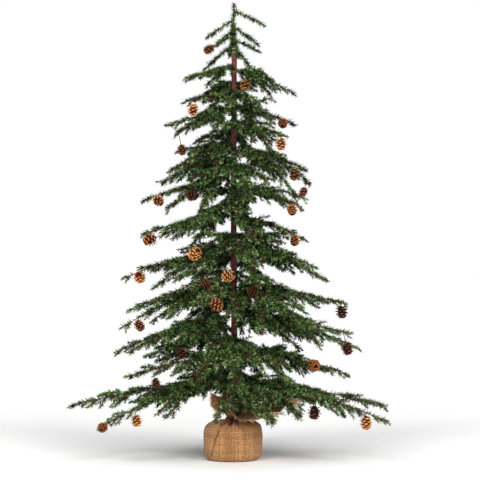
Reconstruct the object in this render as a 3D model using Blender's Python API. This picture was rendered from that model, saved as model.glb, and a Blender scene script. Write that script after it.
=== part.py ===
"""Artificial tabletop tree: a tall, slender, sparse conifer of wired branches on a
bare pole, with natural cones wired to the twigs, standing in a weighted base that
is wrapped in a gathered burlap square.

Frame: metres, +Z up, origin in the middle of the flat rest face under the base.
The front of the tree faces -Y.

Every branch is a bundle of wire that is bound to the pole at its root and bends
there, so each one hangs under its own hinge empty: the empty sits on the bending
axis at the pole and is turned to the branch's azimuth, local +X points outwards and
local -Y is the axis about which the branch lifts.
"""

import math

import bmesh
import bpy
from mathutils import Matrix, Vector

# ---------------------------------------------------------------- dimensions (m)
TREE_HEIGHT = 0.914  # 36 in class
POLE_TOP = 0.8156
POLE_BOTTOM = 0.0130
POLE_R_LOW = 0.0063
POLE_R_TOP = 0.0050
HINGE_OFF = 0.0027  # from the pole's surface to the bending axis of a branch
STUB = 0.0016  # how far a branch's root reaches back from its axis to the pole

STEM_R_ROOT = 0.0019
STEM_R_TIP = 0.0011
TWIG_R = 0.0011
TWIG_R_TIP = 0.0008
TWIG_ANGLE = 43.0
ARM_STEPS = (4, 3)  # straight lengths in a main arm and in a forked one

SACK_R = 0.0575  # burlap drum, outside
SACK_H = 0.0800  # height of the tie
CLOTH = 0.0020
NECK_R = 0.0150
NECK_HOLE_R = 0.0080
TIE_R = 0.0013
BLOCK_GAP = 0.0008
BORE_GAP = 0.0004

# ---------------------------------------------------------------- branches
# name, root height, azimuth (0 = right, 90 = back, 180 = left, 270 = front),
# reach from the pole's axis, drop of the tip below the root,
# and the second arm of a forked bundle: (turn in azimuth, reach, drop) or None.
BRANCHES = (
    ("branch_01_left", 0.786, 192, 0.102, 0.028, None),
    ("branch_02_right", 0.778, 352, 0.122, 0.048, (34, 0.088, 0.014)),
    ("branch_03_back", 0.757, 95, 0.100, 0.032, None),
    ("branch_04_left", 0.744, 158, 0.110, 0.027, None),
    ("branch_05_front", 0.735, 262, 0.115, 0.042, None),
    ("branch_06_right", 0.708, 16, 0.130, 0.036, None),
    ("branch_07_left", 0.700, 204, 0.147, 0.036, (-22, 0.118, 0.050)),
    ("branch_08_front_right", 0.674, 312, 0.146, 0.034, None),
    ("branch_09_back", 0.664, 98, 0.145, 0.044, None),
    ("branch_10_left_front", 0.633, 216, 0.158, 0.062, None),
    ("branch_11_right", 0.626, 350, 0.148, 0.048, (42, 0.186, 0.070)),
    ("branch_12_left_back", 0.606, 147, 0.182, 0.050, None),
    ("branch_13_front", 0.590, 279, 0.165, 0.052, None),
    ("branch_14_left", 0.568, 184, 0.187, 0.053, (22, 0.150, 0.072)),
    ("branch_15_right_front", 0.553, 326, 0.160, 0.052, None),
    ("branch_16_back", 0.540, 83, 0.190, 0.050, None),
    ("branch_17_front_left", 0.514, 243, 0.190, 0.060, None),
    ("branch_18_left", 0.492, 166, 0.192, 0.041, (26, 0.150, 0.046)),
    ("branch_19_right", 0.487, 7, 0.146, 0.048, None),
    ("branch_20_front", 0.452, 283, 0.186, 0.062, None),
    ("branch_21_right_front", 0.436, 332, 0.184, 0.052, (20, 0.190, 0.080)),
    ("branch_22_left", 0.427, 186, 0.224, 0.066, (20, 0.176, 0.084)),
    ("branch_23_back", 0.420, 78, 0.215, 0.058, (38, 0.200, 0.066)),
    ("branch_24_front_left", 0.378, 248, 0.205, 0.066, None),
    ("branch_25_left", 0.352, 164, 0.224, 0.056, (30, 0.228, 0.086)),
    ("branch_26_right", 0.349, 10, 0.231, 0.038, None),
    ("branch_27_front_right", 0.345, 311, 0.236, 0.074, (-24, 0.190, 0.082)),
    ("branch_28_back", 0.330, 108, 0.235, 0.060, (-36, 0.230, 0.064)),
    ("branch_29_right", 0.290, 347, 0.234, 0.034, (27, 0.262, 0.072)),
    ("branch_30_left", 0.286, 181, 0.238, 0.072, (23, 0.226, 0.066)),
    ("branch_31_back_left", 0.262, 136, 0.262, 0.070, None),
    ("branch_32_front", 0.248, 272, 0.215, 0.084, (-26, 0.200, 0.076)),
    ("branch_33_right_back", 0.222, 42, 0.262, 0.056, (-30, 0.240, 0.058)),
    ("branch_34_left", 0.214, 196, 0.220, 0.046, None),
    ("branch_35_back", 0.176, 92, 0.290, 0.072, (32, 0.280, 0.070)),
    ("branch_36_left", 0.161, 174, 0.330, 0.056, (25, 0.278, 0.090)),
    ("branch_37_right", 0.158, 3, 0.307, 0.052, (-22, 0.316, 0.072)),
    ("branch_38_front", 0.152, 291, 0.212, 0.060, (-33, 0.170, 0.056)),
)

# ---------------------------------------------------------------- cones
# name, centre (x, z) seen from the front, length, branch, share of the arm at which
# its twig leaves, arm (0 main, 1 fork), and how far in front of that arm it hangs.
CONES = (
    ("cone_01_upper_middle", 0.022, 0.749, 0.026, "branch_02_right", 0.18, 0, 0.000),
    ("cone_02_upper_left", -0.080, 0.697, 0.026, "branch_07_left", 0.57, 0, 0.004),
    ("cone_03_upper_right", 0.098, 0.673, 0.024, "branch_06_right", 0.75, 0, 0.012),
    ("cone_04_front_right", 0.092, 0.625, 0.026, "branch_08_front_right", 0.93, 0, 0.000),
    ("cone_05_right", 0.120, 0.569, 0.027, "branch_11_right", 0.85, 0, 0.000),
    ("cone_06_left", -0.168, 0.439, 0.030, "branch_18_left", 0.93, 1, 0.000),
    ("cone_07_right", 0.122, 0.437, 0.024, "branch_19_right", 0.83, 0, 0.008),
    ("cone_08_middle_left", -0.076, 0.413, 0.032, "branch_22_left", 0.37, 1, 0.020),
    ("cone_09_left", -0.188, 0.363, 0.026, "branch_22_left", 0.83, 0, -0.012),
    ("cone_10_middle", -0.010, 0.369, 0.028, "branch_24_front_left", 0.28, 0, 0.008),
    ("cone_11_front_left", -0.032, 0.313, 0.028, "branch_24_front_left", 0.68, 0, 0.000),
    ("cone_12_right", 0.218, 0.293, 0.028, "branch_26_right", 0.93, 0, 0.008),
    ("cone_13_left", -0.186, 0.269, 0.026, "branch_25_left", 0.85, 1, 0.000),
    ("cone_14_lower_right", 0.162, 0.186, 0.028, "branch_33_right_back", 0.62, 1, 0.032),
    ("cone_15_lower_left", -0.192, 0.082, 0.026, "branch_36_left", 0.67, 1, 0.000),
    ("cone_16_lower_right", 0.159, 0.096, 0.030, "branch_37_right", 0.45, 1, 0.000),
    ("cone_17_far_right", 0.259, 0.081, 0.030, "branch_37_right", 0.83, 1, 0.000),
)

LEADER_TWIGS = (
    # height of the root, azimuth, reach, rise of the tip above the root
    (0.897, 350, 0.062, -0.030),
    (0.879, 187, 0.054, -0.037),
    (0.866, 12, 0.052, -0.037),
    (0.858, 165, 0.040, -0.030),
    (0.848, 214, 0.046, -0.024),
    (0.838, 340, 0.055, -0.024),
    (0.831, 172, 0.060, -0.050),
    (0.826, 30, 0.040, -0.042),
    (0.874, 92, 0.036, -0.026),
    (0.843, 100, 0.050, -0.032),
    (0.855, 268, 0.034, -0.026),
    (0.833, 285, 0.044, -0.034),
)


# ---------------------------------------------------------------- helpers
def pole_radius(z):
    share = (z - POLE_BOTTOM) / (POLE_TOP - POLE_BOTTOM)
    return POLE_R_LOW + (POLE_R_TOP - POLE_R_LOW) * share


def hinge_radius(z):
    return pole_radius(z) + HINGE_OFF


def unit_hash(*keys):
    """A number from 0 to 1 that depends only on its keys."""
    value = 0.5
    for n, key in enumerate(keys):
        value = (value * 7.31 + math.sin(key * 12.9898 + n * 4.137 + 1.7) * 437.585) % 1.0
    return value


def bezier(points, t):
    a, b, c, d = points
    s = 1.0 - t
    return a * s**3 + b * (3 * s * s * t) + c * (3 * s * t * t) + d * t**3


def tangent(points, t):
    a, b, c, d = points
    s = 1.0 - t
    return ((b - a) * (3 * s * s) + (c - b) * (6 * s * t) + (d - c) * (3 * t * t)).normalized()


def nearest_on(path, p):
    """The nearest point to p on the straight-sided line that a stem is drawn along."""
    found = []
    for low, high in zip(path, path[1:]):
        span = high - low
        share = max(0.0, min(1.0, (p - low).dot(span) / span.length_squared))
        q = low + span * share
        found.append(((q - p).length, tuple(q)))
    return Vector(min(found)[1])


def arms_of(number, z, reach, drop, fork):
    """The arms of a branch as cubic curves in its own frame, X outwards from the hinge."""
    hinge = hinge_radius(z)
    length = reach - hinge
    sway = (unit_hash(number, 1) - 0.5) * 0.07 * length
    main = (
        Vector((0, 0, 0)),
        Vector((0.36 * length, sway, -0.20 * drop)),
        Vector((0.72 * length, -0.5 * sway, -0.60 * drop)),
        Vector((length, 0, -drop)),
    )
    arms = [main]
    if fork:
        turn, reach2, drop2 = fork
        turn = math.radians(turn)
        start = bezier(main, 0.14)
        along = tangent(main, 0.14)
        end = Vector((reach2 * math.cos(turn) - hinge, reach2 * math.sin(turn), -drop2))
        span = (end - start).length
        toward = (end - start).normalized()
        arms.append(
            (
                start,
                start + (along * 0.6 + toward * 0.4) * (0.30 * span) + Vector((0, 0, 0.06 * drop2)),
                start + (end - start) * 0.68 + Vector((0, 0, 0.10 * drop2)),
                end,
            )
        )
    return arms


def twigs_of(number, arm, points):
    """Side twigs of an arm, as cubic curves: alternate sides, swept forwards."""
    length = (points[3] - points[0]).length
    count = max(3, min(5, round(length / 0.050)))
    found = []
    for j in range(count):
        t = 0.26 + 0.62 * j / (count - 1)
        side = 1 if (j + number + arm) % 2 else -1
        size = (0.010 + 0.20 * length) * (1.12 - t) ** 0.65
        size *= 0.88 + 0.24 * unit_hash(number, arm, j)
        start, along = bezier(points, t), tangent(points, t)
        turn = Matrix.Rotation(side * math.radians(TWIG_ANGLE), 3, "Z")
        out = turn @ along
        out.z = along.z - 0.10
        out.normalize()
        bend = (out * 0.55 + along * 0.45).normalized()
        end = start + out * (0.6 * size) + bend * (0.4 * size)
        found.append((start, start + out * (0.33 * size), start + out * (0.62 * size), end))
    return found


def add_tube(name, path, radii, sides):
    """A closed tube along a list of points, drawn ring by ring and bridged."""
    mesh = bmesh.new()
    rings = []
    for i, p in enumerate(path):
        ahead = (path[min(i + 1, len(path) - 1)] - path[max(i - 1, 0)]).normalized()
        across = ahead.cross(Vector((0, 0, 1)))
        if across.length < 0.1:
            across = ahead.cross(Vector((0, 1, 0)))
        across.normalize()
        up = across.cross(ahead)
        rings.append(
            [
                mesh.verts.new(
                    p + radii[i] * (math.cos(a) * across + math.sin(a) * up)
                )
                for a in (2 * math.pi * (k + 0.5) / sides for k in range(sides))
            ]
        )
    for low, high in zip(rings, rings[1:]):
        for k in range(sides):
            mesh.faces.new((low[k], low[(k + 1) % sides], high[(k + 1) % sides], high[k]))
    mesh.faces.new(rings[0][::-1])
    mesh.faces.new(rings[-1])
    bmesh.ops.recalc_face_normals(mesh, faces=mesh.faces)
    data = bpy.data.meshes.new(name)
    mesh.to_mesh(data)
    mesh.free()
    obj = bpy.data.objects.new(name, data)
    bpy.context.scene.collection.objects.link(obj)
    return obj


def join_solids(name, pieces):
    """One closed body from overlapping ones, with a Boolean union for each."""
    base, *others = pieces
    for other in others:
        union = base.modifiers.new("union", "BOOLEAN")
        union.operation = "UNION"
        union.solver = "EXACT"
        union.object = other
        other.hide_render = True
        other.display_type = "WIRE"
    bpy.context.view_layer.update()
    graph = bpy.context.evaluated_depsgraph_get()
    data = bpy.data.meshes.new_from_object(base.evaluated_get(graph))
    data.name = name
    for piece in pieces:
        bpy.data.objects.remove(piece)
    obj = bpy.data.objects.new(name, data)
    bpy.context.scene.collection.objects.link(obj)
    return obj


def material(name, colour, roughness, metallic=0.0):
    made = bpy.data.materials.new(name)
    made.use_nodes = True
    shader = made.node_tree.nodes["Principled BSDF"]
    shader.inputs["Base Color"].default_value = (*colour, 1.0)
    shader.inputs["Roughness"].default_value = roughness
    shader.inputs["Metallic"].default_value = metallic
    made.diffuse_color = (*colour, 1.0)
    return made


def wear(obj, mat, smooth=None):
    obj.data.materials.clear()
    obj.data.materials.append(mat)
    if smooth is not None:
        obj.data.shade_smooth()
        obj.data.set_sharp_from_angle(angle=math.radians(smooth))
    return obj


def turned(name, profile, segments, wobble=None):
    """A closed body from a profile of (radius, height) that starts and ends in a flat cap."""
    mesh = bmesh.new()
    rings = []
    for n, (r, z) in enumerate(profile):
        ring = []
        for k in range(segments):
            a = 2 * math.pi * k / segments
            rr, zz = (r, z) if wobble is None else wobble(n, a, r, z)
            ring.append(mesh.verts.new((rr * math.cos(a), rr * math.sin(a), zz)))
        rings.append(ring)
    for low, high in zip(rings, rings[1:]):
        for k in range(segments):
            mesh.faces.new((low[k], low[(k + 1) % segments], high[(k + 1) % segments], high[k]))
    mesh.faces.new(rings[0][::-1])
    mesh.faces.new(rings[-1])
    bmesh.ops.recalc_face_normals(mesh, faces=mesh.faces)
    data = bpy.data.meshes.new(name)
    mesh.to_mesh(data)
    mesh.free()
    obj = bpy.data.objects.new(name, data)
    bpy.context.scene.collection.objects.link(obj)
    return obj


# ---------------------------------------------------------------- start clean
for old in list(bpy.data.objects):
    bpy.data.objects.remove(old, do_unlink=True)

BURLAP = material("burlap", (0.46, 0.25, 0.11), 0.95)
CEMENT = material("cement", (0.55, 0.54, 0.51), 0.9)
TWINE = material("wire_tie", (0.12, 0.07, 0.04), 0.6, 0.3)
BARK = material("pole_wood", (0.20, 0.075, 0.05), 0.8)
GREEN = material("branch_foliage", (0.03, 0.09, 0.04), 0.7)
CONE = material("cone", (0.33, 0.15, 0.07), 0.75)

# ---------------------------------------------------------------- base
# The block follows the inside of the burlap, with a bore for the pole.
SACK_PROFILE = (
    # radius, height of the outer surface, from the rim of the flat bottom to the tie
    (0.0490, 0.0000),
    (0.0545, 0.0040),
    (0.0572, 0.0160),
    (SACK_R, 0.0380),
    (0.0568, 0.0560),
    (0.0520, 0.0670),
    (0.0400, 0.0735),
    (0.0240, 0.0762),
    (NECK_R, 0.0785),
    (NECK_R, 0.0860),
)
RUFFLE_Z = 0.0885


def ruffle_reach(a):
    """How far the loose corner cloth reaches past the tie, by azimuth: four corners,
    the right one longest and lying down, the left ones standing up."""
    corner = 0.5 + 0.5 * math.cos(4 * (a - math.radians(8)))
    reach = 0.050 + 0.030 * corner
    reach += 0.042 * max(0.0, math.cos(a - math.radians(8))) ** 6
    return reach


def ruffle_lift(a):
    """Elevation of the loose cloth by azimuth, in radians: low in front and at the right."""
    turn = a - math.radians(8)
    return math.radians(38 - 22 * math.cos(turn) + 28 * math.sin(turn))


def sack_surface():
    """Rows of (radius, height) functions of the azimuth, out of the bottom, over the tie,
    out to the edge of the loose cloth and back inside."""
    rows = [lambda a, r=r, z=z: (r, z) for r, z in SACK_PROFILE]
    for share in (0.30, 0.65, 1.0):
        def outer(a, share=share):
            reach = ruffle_reach(a) * share
            lift = ruffle_lift(a) * (1.15 - 0.25 * share)
            return (
                NECK_R + reach * math.cos(lift) + CLOTH * math.sin(lift),
                RUFFLE_Z + reach * math.sin(lift) - CLOTH * math.cos(lift),
            )
        rows.append(outer)
    for share in (1.0, 0.65, 0.30):
        def inner(a, share=share):
            reach = ruffle_reach(a) * share
            lift = ruffle_lift(a) * (1.15 - 0.25 * share)
            return (NECK_R + reach * math.cos(lift), RUFFLE_Z + reach * math.sin(lift))
        rows.append(inner)
    rows.append(lambda a: (NECK_HOLE_R + 0.002, RUFFLE_Z + 0.0035))
    rows.append(lambda a: (NECK_HOLE_R, 0.0850))
    rows.append(lambda a: (NECK_HOLE_R, 0.0785))
    rows.append(lambda a: (NECK_HOLE_R + 0.003, 0.0745))
    for r, z in SACK_PROFILE[-3:-6:-1]:
        rows.append(lambda a, r=r, z=z: (r - 0.0008, z - CLOTH))
    for r, z in SACK_PROFILE[-6:0:-1]:
        rows.append(lambda a, r=r, z=z: (r - CLOTH, max(z - 0.0008, CLOTH)))
    rows.append(lambda a: (0.0470, CLOTH))
    return rows


def make_sack():
    segments = 28
    mesh = bmesh.new()
    rings = []
    for row in sack_surface():
        ring = []
        for k in range(segments):
            a = 2 * math.pi * k / segments
            r, z = row(a)
            ring.append(mesh.verts.new((r * math.cos(a), r * math.sin(a), z)))
        rings.append(ring)
    for low, high in zip(rings, rings[1:]):
        for k in range(segments):
            mesh.faces.new((low[k], low[(k + 1) % segments], high[(k + 1) % segments], high[k]))
    mesh.faces.new(rings[0][::-1])
    mesh.faces.new(rings[-1])
    bmesh.ops.recalc_face_normals(mesh, faces=mesh.faces)
    data = bpy.data.meshes.new("burlap_wrap")
    mesh.to_mesh(data)
    mesh.free()
    obj = bpy.data.objects.new("burlap_wrap", data)
    bpy.context.scene.collection.objects.link(obj)
    return wear(obj, BURLAP, 50)


make_sack()

block_low = CLOTH + BLOCK_GAP
inset = CLOTH + BLOCK_GAP
bore = pole_radius(0.04) + BORE_GAP
block = turned(
    "cement_weight",
    (
        (0.0445, block_low),
        (0.0505, block_low + 0.004),
        (0.0572 - inset - 0.0004, 0.0160),
        (SACK_R - inset - 0.0004, 0.0380),
        (0.0568 - inset - 0.0006, 0.0550),
        (0.0520 - inset - 0.0010, 0.0640),
        (0.0385 - inset, 0.0698),
        (bore, 0.0706),
        (bore, POLE_BOTTOM - BORE_GAP),
    ),
    24,
)
wear(block, CEMENT, 50)

# Wire tie round the neck of the burlap.
ring = bmesh.new()
tie_rings = []
for k in range(20):
    a = 2 * math.pi * k / 20
    centre = Vector((math.cos(a), math.sin(a), 0)) * (NECK_R + TIE_R + 0.0006)
    centre.z = 0.0822
    out = Vector((math.cos(a), math.sin(a), 0))
    tie_rings.append(
        [
            ring.verts.new(centre + out * (TIE_R * math.cos(b)) + Vector((0, 0, TIE_R * math.sin(b))))
            for b in (2 * math.pi * j / 6 for j in range(6))
        ]
    )
for k in range(20):
    low, high = tie_rings[k], tie_rings[(k + 1) % 20]
    for j in range(6):
        ring.faces.new((low[j], low[(j + 1) % 6], high[(j + 1) % 6], high[j]))
bmesh.ops.recalc_face_normals(ring, faces=ring.faces)
tie_mesh = bpy.data.meshes.new("neck_tie")
ring.to_mesh(tie_mesh)
ring.free()
tie = bpy.data.objects.new("neck_tie", tie_mesh)
bpy.context.scene.collection.objects.link(tie)
wear(tie, TWINE, 40)

# ---------------------------------------------------------------- pole and leader
pole = turned(
    "trunk_pole",
    (
        (POLE_R_LOW, POLE_BOTTOM),
        (pole_radius(0.40), 0.40),
        (POLE_R_TOP, POLE_TOP - 0.004),
        (POLE_R_TOP + 0.0003, POLE_TOP),
    ),
    12,
)
wear(pole, BARK, 40)

leader_root = POLE_TOP + 0.0006
leader_pivot = bpy.data.objects.new("leader_pivot", None)
leader_pivot.location = (0, 0, leader_root + 0.001)
bpy.context.scene.collection.objects.link(leader_pivot)


def leader_line(z):
    """The leader's wire leans a little as it rises."""
    h = z - leader_root
    return Vector((-0.0010 * math.sin(h * 30), 0, h - 0.001))


leader_parts = [
    add_tube(
        "leader",
        [leader_line(leader_root + (TREE_HEIGHT - leader_root) * s) for s in (0, 0.04, 0.3, 0.6, 1.0)],
        (0.0012, 0.0022, 0.0020, 0.0016, 0.0010),
        6,
    )
]
for z, azimuth, reach, rise in LEADER_TWIGS:
    a = math.radians(azimuth)
    start = leader_line(z)
    end = start + Vector((reach * math.cos(a), reach * math.sin(a), rise))
    middle = start.lerp(end, 0.5) + Vector((0, 0, 0.08 * reach))
    leader_parts.append(
        add_tube("leader_twig", [start, middle, end], (0.0013, 0.0012, 0.0008), 3)
    )
leader = join_solids("leader_tip", leader_parts)
leader.parent = leader_pivot
wear(leader, GREEN, 60)

# ---------------------------------------------------------------- branches and cones
cones_of = {}
for row in CONES:
    cones_of.setdefault(row[4], []).append(row)


def make_cone(name, length, direction):
    """An egg of scales, blunt at the stalk, on the origin at its middle."""
    half = length / 2
    shape = wear(
        turned(
            name,
            (
                (0.12 * length, half),
                (0.34 * length, 0.70 * half),
                (0.42 * length, 0.15 * half),
                (0.34 * length, -0.50 * half),
                (0.10 * length, -half),
            ),
            8,
        ),
        CONE,
        80,
    )
    shape.rotation_mode = "QUATERNION"
    shape.rotation_quaternion = direction.to_track_quat("Z", "Y")
    return shape


for number, (name, z, azimuth, reach, drop, fork) in enumerate(BRANCHES, 1):
    a = math.radians(azimuth)
    hinge = bpy.data.objects.new(f"hinge_{number:02d}", None)
    hinge.location = (hinge_radius(z) * math.cos(a), hinge_radius(z) * math.sin(a), z)
    hinge.rotation_euler = (0, 0, a)
    bpy.context.scene.collection.objects.link(hinge)
    to_local = (Matrix.Translation(hinge.location) @ Matrix.Rotation(a, 4, "Z")).inverted()

    arms = arms_of(number, z, reach, drop, fork)
    scale = 0.75 + 0.25 * min(1.0, reach / 0.25)
    parts, arm_paths = [], []
    for n, points in enumerate(arms):
        steps = ARM_STEPS[n]
        path = [bezier(points, s / steps) for s in range(steps + 1)]
        radii = [scale * (STEM_R_ROOT + (STEM_R_TIP - STEM_R_ROOT) * s / steps) for s in range(steps + 1)]
        if n == 0:
            path.insert(0, Vector((-STUB, 0, 0)))
            radii.insert(0, 0.0007)
        else:
            path[0] = nearest_on(arm_paths[0], path[0])
            radii = [0.92 * r for r in radii]
        arm_paths.append(path)
        parts.append(add_tube("arm", path, radii, 5 if n == 0 else 4))
    for n, points in enumerate(arms):
        for twig in twigs_of(number, n, points):
            long_one = (twig[3] - twig[0]).length > 0.045
            stops = (0, 0.55, 1.0) if long_one else (0, 1.0)
            radii = [TWIG_R] * (len(stops) - 1) + [TWIG_R_TIP]
            line = [bezier(twig, s) for s in stops]
            line[0] = nearest_on(arm_paths[n], line[0])
            parts.append(add_tube("twig", line, radii, 3))
    cones = []
    for cone_name, x, cz, length, _, share, arm, front in cones_of.get(name, ()):
        points = arms[arm]
        start = nearest_on(arm_paths[arm], bezier(points, share))
        world_y = (to_local.inverted() @ start).y - front
        centre = to_local @ Vector((x, world_y, cz))
        up = (start - centre).normalized()
        top = centre + up * (length / 2 + 0.0006 + TWIG_R)
        line = [start, top]
        if (top - start).length > 0.010:
            line.insert(1, start.lerp(top, 0.5) + Vector((0, 0, 0.0015)))
        parts.append(add_tube("cone_twig", line, [0.0010] * (len(line) - 1) + [0.0008], 4))
        cone = make_cone(cone_name, length, up)
        cone.location = centre
        cone.parent = hinge
        cones.append(cone)
    branch = wear(join_solids(name, parts), GREEN, 60)
    branch.parent = hinge
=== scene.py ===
"""Looks of the artificial tabletop tree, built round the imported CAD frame.

Wired branches with brushes of thin plastic needles, natural cones, a bare pole and a
weighted base wrapped in a gathered burlap square. Metres, +Z up, front towards -Y.
"""

import math

import bmesh
import bpy
import numpy as np
from mathutils import Matrix, Vector


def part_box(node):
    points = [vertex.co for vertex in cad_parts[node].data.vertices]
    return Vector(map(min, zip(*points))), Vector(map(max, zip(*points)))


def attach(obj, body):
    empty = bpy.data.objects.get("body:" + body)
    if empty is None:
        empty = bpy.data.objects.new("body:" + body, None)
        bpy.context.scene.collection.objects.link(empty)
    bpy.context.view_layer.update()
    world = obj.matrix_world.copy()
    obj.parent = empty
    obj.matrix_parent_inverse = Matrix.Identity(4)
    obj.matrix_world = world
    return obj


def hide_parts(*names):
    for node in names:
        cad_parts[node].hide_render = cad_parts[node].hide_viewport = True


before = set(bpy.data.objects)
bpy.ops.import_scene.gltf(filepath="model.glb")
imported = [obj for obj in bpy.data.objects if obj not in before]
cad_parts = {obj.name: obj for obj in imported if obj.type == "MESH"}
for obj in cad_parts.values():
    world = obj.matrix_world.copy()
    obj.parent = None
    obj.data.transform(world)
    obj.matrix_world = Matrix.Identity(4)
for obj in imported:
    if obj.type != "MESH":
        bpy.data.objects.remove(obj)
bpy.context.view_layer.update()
scene = bpy.context.scene

# ------------------------------------------------------------------ camera and light
MM = 0.001
VIEW_SCALE = 0.002004  # metres seen by one pixel column at the pole, 480 across
VIEW_FAR = 3.5

camera = bpy.data.objects.new("camera", bpy.data.cameras.new("camera"))
camera.location = (6 * VIEW_SCALE, -VIEW_FAR, 0.4389)
camera.rotation_euler = (math.radians(90), 0, 0)
camera.data.sensor_width = 36
camera.data.lens = VIEW_FAR * 36 / (480 * VIEW_SCALE)
camera.data.clip_end = 50
scene.collection.objects.link(camera)
scene.camera = camera


def sun_light(name, place, power, softness, colour=(1, 1, 1)):
    data = bpy.data.lights.new(name, "SUN")
    data.energy = power
    data.angle = math.radians(softness)
    data.color = colour
    obj = bpy.data.objects.new(name, data)
    obj.rotation_euler = (-Vector(place)).to_track_quat("-Z", "Y").to_euler()
    scene.collection.objects.link(obj)
    return obj


# Flat studio light from in front, left and right: no single shadow stands out.
sun_light("key_left", (-0.80, -1.15, 0.95), 1.7, 28, (1.0, 0.99, 0.98))
sun_light("key_right", (0.85, -1.10, 0.90), 1.8, 28, (1.0, 0.99, 0.98))
sun_light("front", (0.10, -1.30, 0.50), 1.1, 28, (1.0, 1.0, 0.99))
sun_light("top", (0.05, -0.25, 1.60), 1.05, 60, (0.98, 0.99, 1.0))

scene.view_settings.view_transform = "Standard"

# The backdrop reads as white paper, while the light that it gives the tree stays modest,
# so that the inner foliage keeps its deep shade.
world = bpy.data.worlds.new("studio")
scene.world = world
world.use_nodes = True
sky = world.node_tree
dim = sky.nodes["Background"]
dim.inputs["Color"].default_value = (1, 1, 1, 1)
dim.inputs["Strength"].default_value = 0.10
paper = sky.nodes.new("ShaderNodeBackground")
paper.inputs["Color"].default_value = (1, 1, 1, 1)
paper.inputs["Strength"].default_value = 1.0
seen = sky.nodes.new("ShaderNodeLightPath")
either = sky.nodes.new("ShaderNodeMixShader")
sky.links.new(seen.outputs["Is Camera Ray"], either.inputs[0])
sky.links.new(dim.outputs[0], either.inputs[1])
sky.links.new(paper.outputs[0], either.inputs[2])
sky.links.new(either.outputs[0], sky.nodes["World Output"].inputs["Surface"])


# ------------------------------------------------------------------ materials
def new_material(name, roughness=0.7):
    made = bpy.data.materials.new(name)
    made.use_nodes = True
    shader = made.node_tree.nodes["Principled BSDF"]
    shader.inputs["Roughness"].default_value = roughness
    return made, made.node_tree, shader


def node(tree, kind, **settings):
    made = tree.nodes.new(kind)
    for key, value in settings.items():
        setattr(made, key, value)
    return made


def ramp(tree, stops, interpolation="LINEAR"):
    made = tree.nodes.new("ShaderNodeValToRGB")
    made.color_ramp.interpolation = interpolation
    items = made.color_ramp.elements
    while len(items) < len(stops):
        items.new(0.5)
    for item, (place, colour) in zip(items, stops):
        item.position = place
        item.color = (*colour, 1)
    return made


def srgb(r, g, b):
    """A colour from 0-255 screen values."""
    return tuple(
        (c / 255 / 12.92) if c / 255 <= 0.04045 else ((c / 255 + 0.055) / 1.055) ** 2.4
        for c in (r, g, b)
    )


def mix_colour(tree, kind, factor, a, b):
    made = tree.nodes.new("ShaderNodeMix")
    made.data_type = "RGBA"
    made.blend_type = kind
    made.inputs[0].default_value = factor
    for slot, value in ((6, a), (7, b)):
        if hasattr(value, "is_output"):
            tree.links.new(value, made.inputs[slot])
        else:
            made.inputs[slot].default_value = (*value, 1)
    return made


def needle_material(name, greens_with_painted_light, root_painted_shade=0.10):
    """Colour from the needle's own map: across it runs from strip to strip of film through slightly different greens,
    darkened into painted shade and lightened into painted highlight; along it from painted shade at the root to a
    painted highlight at the tip."""
    made, tree, shader = new_material(name, 0.55)
    uv = node(tree, "ShaderNodeUVMap", uv_map="OFBake")
    split = node(tree, "ShaderNodeSeparateXYZ")
    tree.links.new(uv.outputs[0], split.inputs[0])
    tint = ramp(tree, greens_with_painted_light)
    tree.links.new(split.outputs[0], tint.inputs[0])
    # Painted shade at the root of each strip, deep in the brush, and a painted highlight towards its tip.
    along = ramp(
        tree,
        (
            (0.0, (root_painted_shade,) * 3),
            (0.40, (0.66, 0.65, 0.62)),
            (1.0, (1.42, 1.38, 1.26)),
        ),
    )
    tree.links.new(split.outputs[1], along.inputs[0])
    colour = mix_colour(tree, "MULTIPLY", 1.0, tint.outputs[0], along.outputs[0])
    tree.links.new(colour.outputs[2], shader.inputs["Base Color"])
    shader.inputs["Specular IOR Level"].default_value = 0.16
    return made


# Greens of the film, run out to near black as painted shade and to pale as painted highlight.
GREENS_LIT_AND_SHADED = (
    (0.00, srgb(3, 7, 3)),
    (0.36, srgb(10, 20, 9)),
    (0.48, srgb(36, 66, 33)),
    (0.60, srgb(64, 110, 54)),
    (0.75, srgb(106, 154, 84)),
    (0.88, srgb(156, 194, 124)),
    (1.00, srgb(210, 228, 180)),
)
NEEDLES = needle_material("needle_film", GREENS_LIT_AND_SHADED)


def along_noise(tree, across, along):
    """Noise read from a thread's own map: round it in the first place, along it in the second."""
    uv = node(tree, "ShaderNodeUVMap", uv_map="OFBake")
    stretch = node(tree, "ShaderNodeMapping")
    stretch.inputs["Scale"].default_value = (across, along, 1)
    tree.links.new(uv.outputs[0], stretch.inputs[0])
    noise = node(tree, "ShaderNodeTexNoise")
    noise.inputs["Scale"].default_value = 1
    noise.inputs["Detail"].default_value = 4
    tree.links.new(stretch.outputs[0], noise.inputs["Vector"])
    return noise


def wire_material():
    """Red-brown tape wound round the wires: fine turns, dust and worn edges."""
    made, tree, shader = new_material("wound_tape", 0.62)
    noise = along_noise(tree, 3.0, 80.0)
    tone = ramp(
        tree,
        (
            (0.30, srgb(58, 20, 18)),
            (0.50, srgb(118, 44, 40)),
            (0.70, srgb(176, 88, 76)),
        ),
    )
    tree.links.new(noise.outputs["Fac"], tone.inputs[0])
    tree.links.new(tone.outputs[0], shader.inputs["Base Color"])
    shader.inputs["Specular IOR Level"].default_value = 0.2
    return made


WIRE = wire_material()


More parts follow.
